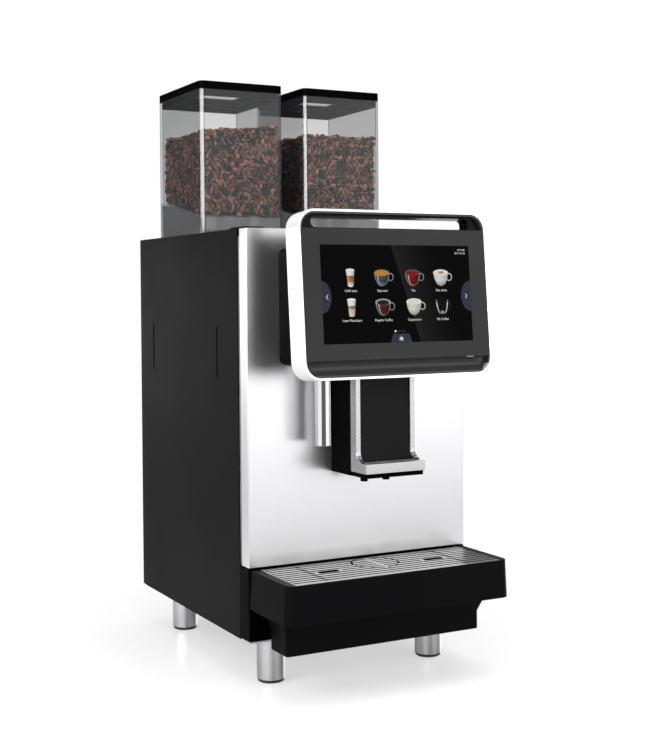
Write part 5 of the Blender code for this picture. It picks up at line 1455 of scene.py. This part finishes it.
for side_name in ("left", "right"):
    body = "bin_" + side_name
    low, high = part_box("hopper_" + side_name)
    foot_z = body_top + GAP

    def outline_in(inset, steps=10):
        radii = tuple(max(radius - inset, 0.001) for radius in HOPPER_CORNERS)
        return rounded((low.x + inset, low.y + inset), (high.x - inset, high.y - inset), radii, steps)

    bin_shape = prism(outline_in(0), "Z", foot_z, high.z)
    inner = outline_in(HOPPER_WALL)

    def floor_at(point, sunk=0.0):
        """The floor's height at a point, or a plane sunk below it."""
        return floor_z(point, low.y, high.y) - sunk

    bin_shape = cut(
        bin_shape,
        prism(inner, "Z", floor_at, high.z + PAST),
        prism(inner, "Z", foot_z - PAST, lambda p: floor_at(p, HOPPER_FLOOR)),
    )
    centre = ((low.x + high.x) / 2, low.y + THROAT_BACK)
    throat = prism(circle(centre, THROAT_RADIUS, 64), "Z", low.z, lambda p: floor_at(p, HOPPER_FLOOR / 2))
    bin_shape = join(bin_shape, throat)
    bin_shape = cut(
        bin_shape, prism(circle(centre, THROAT_BORE, 64), "Z", low.z - PAST, body_top + FLOOR_REAR)
    )
    fitted(
        f"{body}_walls", soften(bin_shape, 0.0005, 2, 50), smoked, body, "smoked_plastic",
        "hopper_" + side_name
    )

    lid_low, lid_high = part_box("hopper_lid_" + side_name)
    rim = high.z + GAP
    frame_shape = ring(outline_in(0), outline_in(LID_FRAME), "Z", rim, rim + LID_HEIGHT)
    outer, inner = HOPPER_WALL + 2 * GAP, HOPPER_WALL + 2 * GAP + LID_LIP_THICK
    frame_shape = join(frame_shape, ring(outline_in(outer), outline_in(inner), "Z", lid_low.z, rim + 0.001))
    seat = outline_in(LID_FRAME - LID_WINDOW_SEAT)
    frame_shape = cut(frame_shape, prism(seat, "Z", lid_high.z - LID_WINDOW - GAP, lid_high.z + PAST))
    fitted(f"lid_{side_name}_frame", soften(frame_shape, 0.0010, 3, 50), black_plastic, "lid_" + side_name,
           "black_plastic", "hopper_lid_" + side_name)
    pane = prism(
        outline_in(LID_FRAME - LID_WINDOW_SEAT + GAP), "Z", lid_high.z - LID_WINDOW, lid_high.z - GAP
    )
    fitted(f"lid_{side_name}_pane", soften(
        pane, 0.0004, 2
    ), window_clear, "lid_" + side_name, "clear_plastic",
           "lid_window_" + side_name)

# ================================================================ coffee beans
# Dark roasted beans, each rounded on one side and flat with a crease on the other. They lie loose in the
# bins, some pressed against the walls, and their top is uneven. Beans of the inner layer are painted darker,
# as painted shade between the beans.
BEAN = (0.0050, 0.0035, 0.0027)
BEAN_ROUND = (90, 72, 30, -30, -90, -150, 150, 108)
BEAN_RINGS = (-0.84, -0.32, 0.32, 0.84)
CREASE_DEPTH = 0.0009
WALL_ROW = (0.0080, 0.0060)
# The outer layer keeps its tone; the inner layer's beans are painted darker, as painted shade between the
# outer beans.
WALL_LAYERS = ((0.0038, True), (0.0088, False))
TOP_GRID = (0.0086, 0.0072)
SEED = 11
CORE_INSET = 0.0115

roast_and_painted_shade, nodes, links, shader = new_material("roast_beans")
preset(shader, (("Specular IOR Level", 0.25),))
surface = grain_node(nodes, (("Grain Scale", 1100), ("Patch Scale", 70)))
each = nodes.new("ShaderNodeVertexColor")
each.layer_name = "roast_and_painted_shade"
apart = nodes.new("ShaderNodeSeparateColor")
links.new(each.outputs["Color"], apart.inputs["Color"])
# Red holds each bean's random tone, scaled down on deeper beans as painted shade; green holds the pale
# crease.
shade = blend(nodes, links, apart.outputs["Red"], (0.012, 0.0045, 0.0035), (0.40, 0.155, 0.105))
crease = blend(nodes, links, apart.outputs["Green"], shade, (0.60, 0.38, 0.27))
links.new(crease, shader.inputs["Base Color"])
links.new(spread(nodes, links, surface.outputs["Patch"], 0, 1, 0.28, 0.50), shader.inputs["Roughness"])
relief = nodes.new("ShaderNodeBump")
relief.inputs["Distance"].default_value = 0.00012
links.new(surface.outputs["Grain"], relief.inputs["Height"])
links.new(relief.outputs["Normal"], shader.inputs["Normal"])


def bean_template(angles, rings):
    """Points, faces and crease shares of one bean, its long axis along X and its flat side up."""
    points, shares = [(-BEAN[0], 0, 0)], [0]
    for along_x in rings:
        size = math.sqrt(1 - along_x ** 2)
        for degrees in angles:
            a = math.radians(degrees)
            y, z = BEAN[1] * size * math.cos(a), BEAN[2] * size * math.sin(a)
            if z > 0:
                z *= 0.55
            in_crease = degrees == 90
            if in_crease:
                z -= CREASE_DEPTH * size
            points.append((BEAN[0] * along_x, y, z))
            shares.append(1.0 if in_crease else 0.0)
    points.append((BEAN[0], 0, 0))
    shares.append(0)
    count = len(angles)
    faces = []
    for r in range(len(rings) - 1):
        for i in range(count):
            j = (i + 1) % count
            a, b = 1 + r * count, 1 + (r + 1) * count
            faces.append((a + i, a + j, b + j, b + i))
    last = 1 + (len(rings) - 1) * count
    for i in range(count):
        j = (i + 1) % count
        faces.append((0, 1 + j, 1 + i))
        faces.append((len(points) - 1, last + i, last + j))
    return np.array(points), faces, np.array(shares)


def turn_matrix(rng, outward):
    """A bean's turn: its flat side or its back toward the outside, spun at random and a little askew."""
    spin = Matrix.Rotation(rng.uniform(0, math.tau), 3, "Z")
    tip = Matrix.Rotation(rng.choice((0, 0, math.pi, math.pi, math.pi / 2)) + rng.gauss(0, 0.35), 3, "X")
    face_out = Vector(outward).to_track_quat("Z", "Y").to_matrix()
    return np.array(face_out @ spin @ tip @ Matrix.Rotation(rng.gauss(0, 0.30), 3, "Y"))


def heap(name, body, node, low, high, slope, down, rng):
    """All the beans of a bin as one mesh, with a core out of sight painted black as the shade deep in the
    heap.
    """
    fine = bean_template(BEAN_ROUND, BEAN_RINGS)
    coarse = bean_template((90, 30, -30, -90, -150, 150), (-0.7, 0.0, 0.7))
    inset = HOPPER_WALL + GAP
    x0, x1, y0, y1 = low.x + inset, high.x - inset, low.y + inset, high.y - inset
    middle_x = (x0 + x1) / 2
    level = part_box(node)[1].z - 0.05 * (high.x - low.x) / 2 - down
    waves = [(rng.uniform(30, 90), rng.uniform(30, 90), rng.uniform(0, math.tau)) for k in range(4)]

    def surface_z(x, y):
        lumps = sum(math.sin(a * x + b * y + c) for a, b, c in waves) / len(waves)
        return level + slope * (x - middle_x) + 0.0042 * lumps - 0.0015

    def ground(x, y):
        return floor_z((x, y), low.y, high.y)

    points, faces, tones_and_painted_shade = [], [], []

    # shown scales a bean's tone and crease: below 1 it paints shade on beans that lie deeper.
    def drop(template, place, outward, shown=1.0):
        shape, sides, shares = template
        size = rng.uniform(0.86, 1.08)
        moved = shape * size @ turn_matrix(rng, outward).T + np.array(place)
        moved[:, 0] = np.clip(moved[:, 0], x0, x1)
        moved[:, 1] = np.clip(moved[:, 1], y0, y1)
        moved[:, 2] = np.maximum(moved[:, 2], [ground(p[0], p[1]) + 0.0003 for p in moved])
        first = len(points)
        points.extend(map(tuple, moved))
        faces.extend(tuple(first + n for n in side) for side in sides)
        tone = min(max(rng.gauss(0.33, 0.36), 0), 1) * shown
        tones_and_painted_shade.extend((tone, 0.55 * share * shown, 0) for share in shares)

    for depth, is_outer in WALL_LAYERS:
        template = fine if is_outer else coarse
        path = rounded((x0 + depth, y0 + depth), (x1 - depth, y1 - depth), 0.004, 3)
        path.append(path[0])
        lengths = [math.dist(a, b) for a, b in zip(path, path[1:])]
        around = sum(lengths)
        count = int(around / WALL_ROW[0])
        row = 0
        z = body_top + FLOOR_FRONT + 0.0035
        while z < level + 0.008:
            for k in range(count):
                distance = (k + (row % 2) / 2 + rng.uniform(-0.16, 0.16)) * around / count % around
                for (a, b), length in zip(zip(path, path[1:]), lengths):
                    if distance <= length:
                        break
                    distance -= length
                x, y = (a[n] + (b[n] - a[n]) * distance / length for n in (0, 1))
                place_z = z + rng.uniform(-0.0011, 0.0011)
                if not ground(x, y) + 0.0028 < place_z < surface_z(x, y) - 0.002:
                    continue
                across = (b[1] - a[1], a[0] - b[0], 0)
                shift = rng.uniform(-0.0006, 0.0009)
                norm = math.hypot(across[0], across[1])
                at = (x - shift * across[0] / norm, y - shift * across[1] / norm, place_z)
                # Inner-layer beans are painted at a fifth of their tone, as painted shade between the outer
                # beans.
                drop(template, at, across, 1.0 if is_outer else 0.2)
            z += WALL_ROW[1]
            row += 1
    for sunk, template in ((0.0, fine), (0.0065, coarse)):
        rows = int((y1 - y0 - 0.006) / TOP_GRID[1])
        columns = int((x1 - x0 - 0.006) / TOP_GRID[0])
        for j in range(rows + 1):
            for i in range(columns + 1):
                x = x0 + 0.004 + (x1 - x0 - 0.008) * min(
                    max((i + (j % 2) / 2 + rng.uniform(-0.2, 0.2)) / columns, 0), 1
                )
                y = y0 + 0.004 + (y1 - y0 - 0.008) * min(max((j + rng.uniform(-0.2, 0.2)) / rows, 0), 1)
                drop(template, (x, y, surface_z(x, y) - sunk + rng.uniform(-0.001, 0.0016)), (0, 0, 1))
    # A block painted black, out of sight behind the beans, stands for the shade deep in the heap.
    painted_shade_core = prism(
        rounded((x0 + CORE_INSET, y0 + CORE_INSET), (x1 - CORE_INSET, y1 - CORE_INSET), 0.004, 2), "Z",
        lambda p: ground(*p) + 0.0005, lambda p: surface_z(*p) - 0.010,
    )
    painted_shade_core.verts.ensure_lookup_table()
    first = len(points)
    points.extend(tuple(v.co) for v in painted_shade_core.verts)
    faces.extend(tuple(first + v.index for v in f.verts) for f in painted_shade_core.faces)
    tones_and_painted_shade.extend([(0, 0, 0)] * len(painted_shade_core.verts))
    painted_shade_core.free()
    data = bpy.data.meshes.new(name)
    data.from_pydata(points, [], faces)
    paint = data.color_attributes.new("roast_and_painted_shade", "FLOAT_COLOR", "POINT")
    paint.data.foreach_set("color", [c for tone in tones_and_painted_shade for c in (*tone, 1.0)])
    data.materials.append(roast_and_painted_shade)
    data.shade_smooth()
    piece = set_out(name, data)
    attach(piece, body)
    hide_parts(node)


for side_name, slope, down in (("left", 0.11, 0.0060), ("right", 0.01, 0.0095)):
    low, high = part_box("hopper_" + side_name)
    chance = random.Random(SEED + len(side_name))
    heap(f"bean_heap_{side_name}", "bin_" + side_name, "beans_" + side_name, low, high, slope, down, chance)

# ================================================================ connections at the back
# A zinc-plated recess holds a moulded mains inlet with its rocker switch, a brass water inlet with a rolled
# thread, and a grey barbed spigot for the drain hose.
PIN_SIZE = (0.002, 0.004)
PIN_PLACES = ((-0.007, 0.0), (0.007, 0.0), (0.0, 0.004))
THREAD_PITCH = 0.0015
SOCKET_FOOT, SOCKET_TOP = 0.136, 0.161
SOCKET_HALF = 0.014
COLLAR = 0.004

brass = finish("brass", (0.50, 0.33, 0.12), (0.66, 0.46, 0.18), (0.22, 0.36), 1.0, grain=900, relief=0.00002)
low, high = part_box("power_inlet")
rocker_low, rocker_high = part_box("power_rocker")
x, rocker_z = (low.x + high.x) / 2, (rocker_low.z + rocker_high.z) / 2
module = prism(rounded((low.x, low.z), (high.x, high.z), 0.003, 6), "Y", low.y, high.y)
socket = rounded((x - SOCKET_HALF, SOCKET_FOOT), (x + SOCKET_HALF, SOCKET_TOP), 0.003, 6)
half_x, half_z = 0.013, (rocker_high.z - rocker_low.z) / 2 + 0.0025
pivot_y = high.y - 0.008
module = cut(
    module, prism(socket, "Y", high.y - 0.014, high.y + PAST),
    block((x - half_x, high.y - 0.012, rocker_z - half_z), (x + half_x, high.y + PAST, rocker_z + half_z)),
    prism(circle((pivot_y, rocker_z), 0.0018, 20), "X", x - 0.015, x + 0.015),
)
fitted("mains_module", soften(module, 0.0005, 2), black_plastic, "machine", "black_plastic", "power_inlet")
pins = []
for dx, dz in PIN_PLACES:
    px, pz = x + dx, (SOCKET_FOOT + SOCKET_TOP) / 2 + dz
    pins.append(soften(block((px - PIN_SIZE[0] / 2, high.y - 0.0145, pz - PIN_SIZE[1] / 2),
                             (px + PIN_SIZE[0] / 2, high.y - 0.003, pz + PIN_SIZE[1] / 2)), 0.0004, 2))
fitted("mains_pins", together(*pins), works_steel, "machine", "boiler_steel")
low, high = rocker_low, rocker_high
reach = (high.z - low.z) / 2
front_y, back_y = high.y - reach - 0.0025, high.y
rocker_half = 0.0125
tip_y = back_y - reach - 0.0005
outline = [
    (
        front_y, rocker_z - 0.003
    ), (tip_y, rocker_z - reach), (back_y, rocker_z - reach), (back_y - 0.0015, rocker_z),
    (back_y, rocker_z + reach), (tip_y, rocker_z + reach), (front_y, rocker_z + 0.003),
]
rocker = prism(outline, "X", x - rocker_half, x + rocker_half)
rocker = join(rocker, prism(circle((pivot_y, rocker_z), 0.0015, 20), "X", low.x, high.x))
fitted("mains_rocker", soften(rocker, 0.0004, 2), black_plastic, "rocker", "grey_plastic", "power_rocker")
marks = together(
    block(
        (x - 0.0003, back_y - 0.0004, rocker_z + 0.0040), (x + 0.0003, back_y + 0.00005, rocker_z + 0.0074)
    ),
    ring(circle((x, rocker_z - 0.0057), 0.0018, 32), circle((x, rocker_z - 0.0057), 0.0012, 32), "Y",
         back_y - 0.0006, back_y + 0.00005),
)
white_ink = finish("white_ink", (0.70, 0.70, 0.70), (0.80, 0.80, 0.80), (0.4, 0.5), grain=2000, relief=0.0)
fitted("rocker_marks", marks, white_ink, "rocker", "grey_plastic")

low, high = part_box("water_inlet")
x, z = (low.x + high.x) / 2, (low.z + high.z) / 2
radius, length = (high.x - low.x) / 2 - COLLAR, high.y - low.y
profile = [(0, 0), (radius + COLLAR, 0), (radius + COLLAR, COLLAR), (radius - 0.0006, 0.005)]
steps = int((length - 0.007) / THREAD_PITCH * 4)
for k in range(steps + 1):
    profile.append(
        (radius - 0.0004 + 0.0004 * math.cos(k * math.pi / 2), 0.006 + (length - 0.007) * k / steps)
    )
bore = radius - 0.004
profile += [(radius - 0.0008, length), (bore, length), (bore, length - 0.003), (0, length - 0.003)]
fitted("inlet_thread", turned(profile, (x, low.y, z), "Y", 48), brass, "machine", "brass", "water_inlet")
low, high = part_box("drain_outlet")
x, z = (low.x + high.x) / 2, (low.z + high.z) / 2
radius, length = (high.x - low.x) / 2 - COLLAR, high.y - low.y
profile = [(0, 0), (radius + COLLAR, 0), (radius + COLLAR, COLLAR), (radius - 0.001, 0.005)]
for k in range(3):
    y = 0.008 + 0.005 * k
    profile += [(radius - 0.001, y), (radius, y + 0.0004), (radius - 0.001, y + 0.0045)]
bore = radius - 0.004
profile += [(radius - 0.001, length), (bore, length), (bore, length - 0.003), (0, length - 0.003)]
fitted(
    "drain_barb", turned(profile, (x, low.y, z), "Y", 48), grey_plastic, "machine", "grey_plastic",
    "drain_outlet"
)

# ================================================================ floor, light and camera
# A pale floor with a faint gloss that runs out into a white backdrop. Softboxes light the front, top and
# left. The room is dim to glossy surfaces, which mirror cards round the machine instead, so black pieces
# stay black.
FLOOR_HALF = 3.0
FLOOR_SHOWN = (0.55, 1.25)
ROOM_LIGHT = 1.05
FLOOR_HELD = 0.5
GLOSSY_ROOM = 0.16
CARD_LIGHT = 1.3
FRONT_CARD_LIGHT = 1.5
STRIP_LIGHT = 7
SIDE_LIGHT = 3.0
SIDE_LIGHT_LOW = 0.6
SIDE_LIGHT_HIGH = 0.02
FLAG_DEPTH, FLAG_FOOT, FLAG_TOP = -3, 0.1, 0.95
CARD_FOOT, CARD_TOP = -0.5, 4
STRIP_HEIGHTS = (0.85, 2.2)
LEFT_SIDE = ((-6, 0.8), (-6, 9))
RIGHT_SIDE = ((6, 0.8), (6, 9))
REAR_SIDE = ((-6, 9), (-1.5, 9))
LENS = 61.46
LENS_SHIFT = (-0.00525, -0.0855)

floor_shape = bmesh.new()
corners = ((-1, -1), (1, -1), (1, 1), (-1, 1))
floor_shape.faces.new([floor_shape.verts.new((x * FLOOR_HALF, y * FLOOR_HALF, 0)) for x, y in corners])
floor_paint = finish(
    "pale_floor", (0.93, 0.93, 0.93), (0.95, 0.95, 0.95), (0.16, 0.2), grain=60, patch=1.5, relief=0.0,
)
nodes, links = floor_paint.node_tree.nodes, floor_paint.node_tree.links
place = nodes.new("ShaderNodeTexCoord")
distance = nodes.new("ShaderNodeVectorMath")
distance.operation = "LENGTH"
links.new(place.outputs["Object"], distance.inputs[0])
fade = spread(nodes, links, distance.outputs["Value"], *FLOOR_SHOWN, FLOOR_HELD, 0.0)
links.new(fade, nodes["Principled BSDF"].inputs["Alpha"])
floor_mesh = as_mesh("floor", floor_shape)
floor_mesh.materials.append(floor_paint)
floor = set_out("floor", floor_mesh)


def flag(name, corners, light):
    """A card that only glossy surfaces see, with its own plain light."""
    shape = bmesh.new()
    shape.faces.new([shape.verts.new(p) for p in corners])
    mesh = as_mesh(name, shape)
    card, nodes, links, shader = new_material(name)
    preset(shader, (
        ("Base Color", (0, 0, 0, 1)), ("Specular IOR Level", 0), ("Emission Color", (1, 1, 1, 1)),
        ("Emission Strength", light),
    ))
    mesh.materials.append(card)
    board = set_out(name, mesh)
    for ray in ("camera", "diffuse", "transmission", "volume_scatter", "shadow"):
        setattr(board, "visible_" + ray, False)


CARDS = (  # name, ends on the floor plan, lower and upper edge, light
    ("side_flag", LEFT_SIDE, FLAG_FOOT, FLAG_TOP, SIDE_LIGHT),
    ("side_flag_low", LEFT_SIDE, FLAG_DEPTH, FLAG_FOOT, SIDE_LIGHT_LOW),
    ("right_flag", RIGHT_SIDE, FLAG_DEPTH, FLAG_TOP, SIDE_LIGHT),
    ("side_flag_high", LEFT_SIDE, FLAG_TOP, CARD_TOP, SIDE_LIGHT_HIGH),
    ("rear_flag", REAR_SIDE, FLAG_FOOT, FLAG_TOP, SIDE_LIGHT),
    ("rear_flag_low", REAR_SIDE, FLAG_DEPTH, FLAG_FOOT, SIDE_LIGHT_LOW),
    ("rear_flag_high", REAR_SIDE, FLAG_TOP, CARD_TOP, SIDE_LIGHT_HIGH),
    ("corner_strip", ((-3.9, -3.9), (-3.9, 0.6)), *STRIP_HEIGHTS, STRIP_LIGHT),
    ("corner_strip_front", ((-3.9, -3.9), (-1.6, -3.9)), *STRIP_HEIGHTS, STRIP_LIGHT),
    ("front_card", ((0.3, -4), (5, -4)), CARD_FOOT, CARD_TOP, FRONT_CARD_LIGHT),
    ("left_card", ((-4, -4), (-4, 0.4)), CARD_FOOT, CARD_TOP, CARD_LIGHT),
)
for name, (start, end), foot, top, light in CARDS:
    flag(name, [(*start, foot), (*end, foot), (*end, top), (*start, top)], light)


def softbox(name, place, target, size, power):
    light = bpy.data.lights.new(name, "AREA")
    light.shape = "RECTANGLE"
    light.size, light.size_y = size
    light.energy = power
    lamp = set_out(name, light)
    lamp.location = place
    lamp.rotation_euler = (Vector(target) - Vector(place)).to_track_quat("-Z", "Y").to_euler()
    lamp.visible_glossy = False


middle = (0, 0, 0.4)
softbox("front_box", (0.9, -2.9, 1.3), middle, (1.6, 1.6), 46)
softbox("top_box", (0.2, -0.2, 2.6), middle, (2.2, 2.2), 40)
softbox("left_box", (-2.2, -0.6, 1.9), middle, (0.8, 1.2), 30)

world = bpy.data.worlds.new("studio")
bpy.context.scene.world = world
world.use_nodes = True
sky, room = world.node_tree.nodes, world.node_tree.links
ground = sky["Background"]
ground.inputs["Color"].default_value = (1, 1, 1, 1)
white = sky.new("ShaderNodeBackground")
white.inputs["Color"].default_value = (1, 1, 1, 1)
white.inputs["Strength"].default_value = 1.0
dim = sky.new("ShaderNodeBackground")
dim.inputs["Color"].default_value = (1, 1, 1, 1)
dim.inputs["Strength"].default_value = GLOSSY_ROOM
ray_kind = sky.new("ShaderNodeLightPath")
ground.inputs["Strength"].default_value = ROOM_LIGHT
shown = ground.outputs["Background"]
for kind, light in (("Is Glossy Ray", dim), ("Is Transmission Ray", white), ("Is Camera Ray", white)):
    either = sky.new("ShaderNodeMixShader")
    room.new(ray_kind.outputs[kind], either.inputs["Fac"])
    room.new(shown, either.inputs[1])
    room.new(light.outputs["Background"], either.inputs[2])
    shown = either.outputs["Shader"]
room.new(shown, sky["World Output"].inputs["Surface"])
bpy.context.scene.view_settings.view_transform = "Standard"

CAMERA_PLACE = Vector((-0.86267, -1.69135, 0.52380))
CAMERA_YAW, CAMERA_PITCH, CAMERA_ROLL = (math.radians(a) for a in (27.91, -0.776, -0.4765))
ahead = Vector((
    math.sin(CAMERA_YAW) * math.cos(CAMERA_PITCH), math.cos(CAMERA_YAW) * math.cos(CAMERA_PITCH),
    math.sin(CAMERA_PITCH),
))
right = Vector((math.cos(CAMERA_YAW), -math.sin(CAMERA_YAW), 0))
up = right.cross(ahead)
across = math.cos(CAMERA_ROLL) * right + math.sin(CAMERA_ROLL) * up
upright = math.cos(CAMERA_ROLL) * up - math.sin(CAMERA_ROLL) * right
lens = bpy.data.cameras.new("camera")
lens.lens = LENS
lens.sensor_width = 36
lens.shift_x, lens.shift_y = LENS_SHIFT
camera = set_out("camera", lens)
camera.matrix_world = Matrix.Translation(CAMERA_PLACE) @ Matrix(
    (across, upright, -ahead)
).transposed().to_4x4()
bpy.context.scene.camera = camera
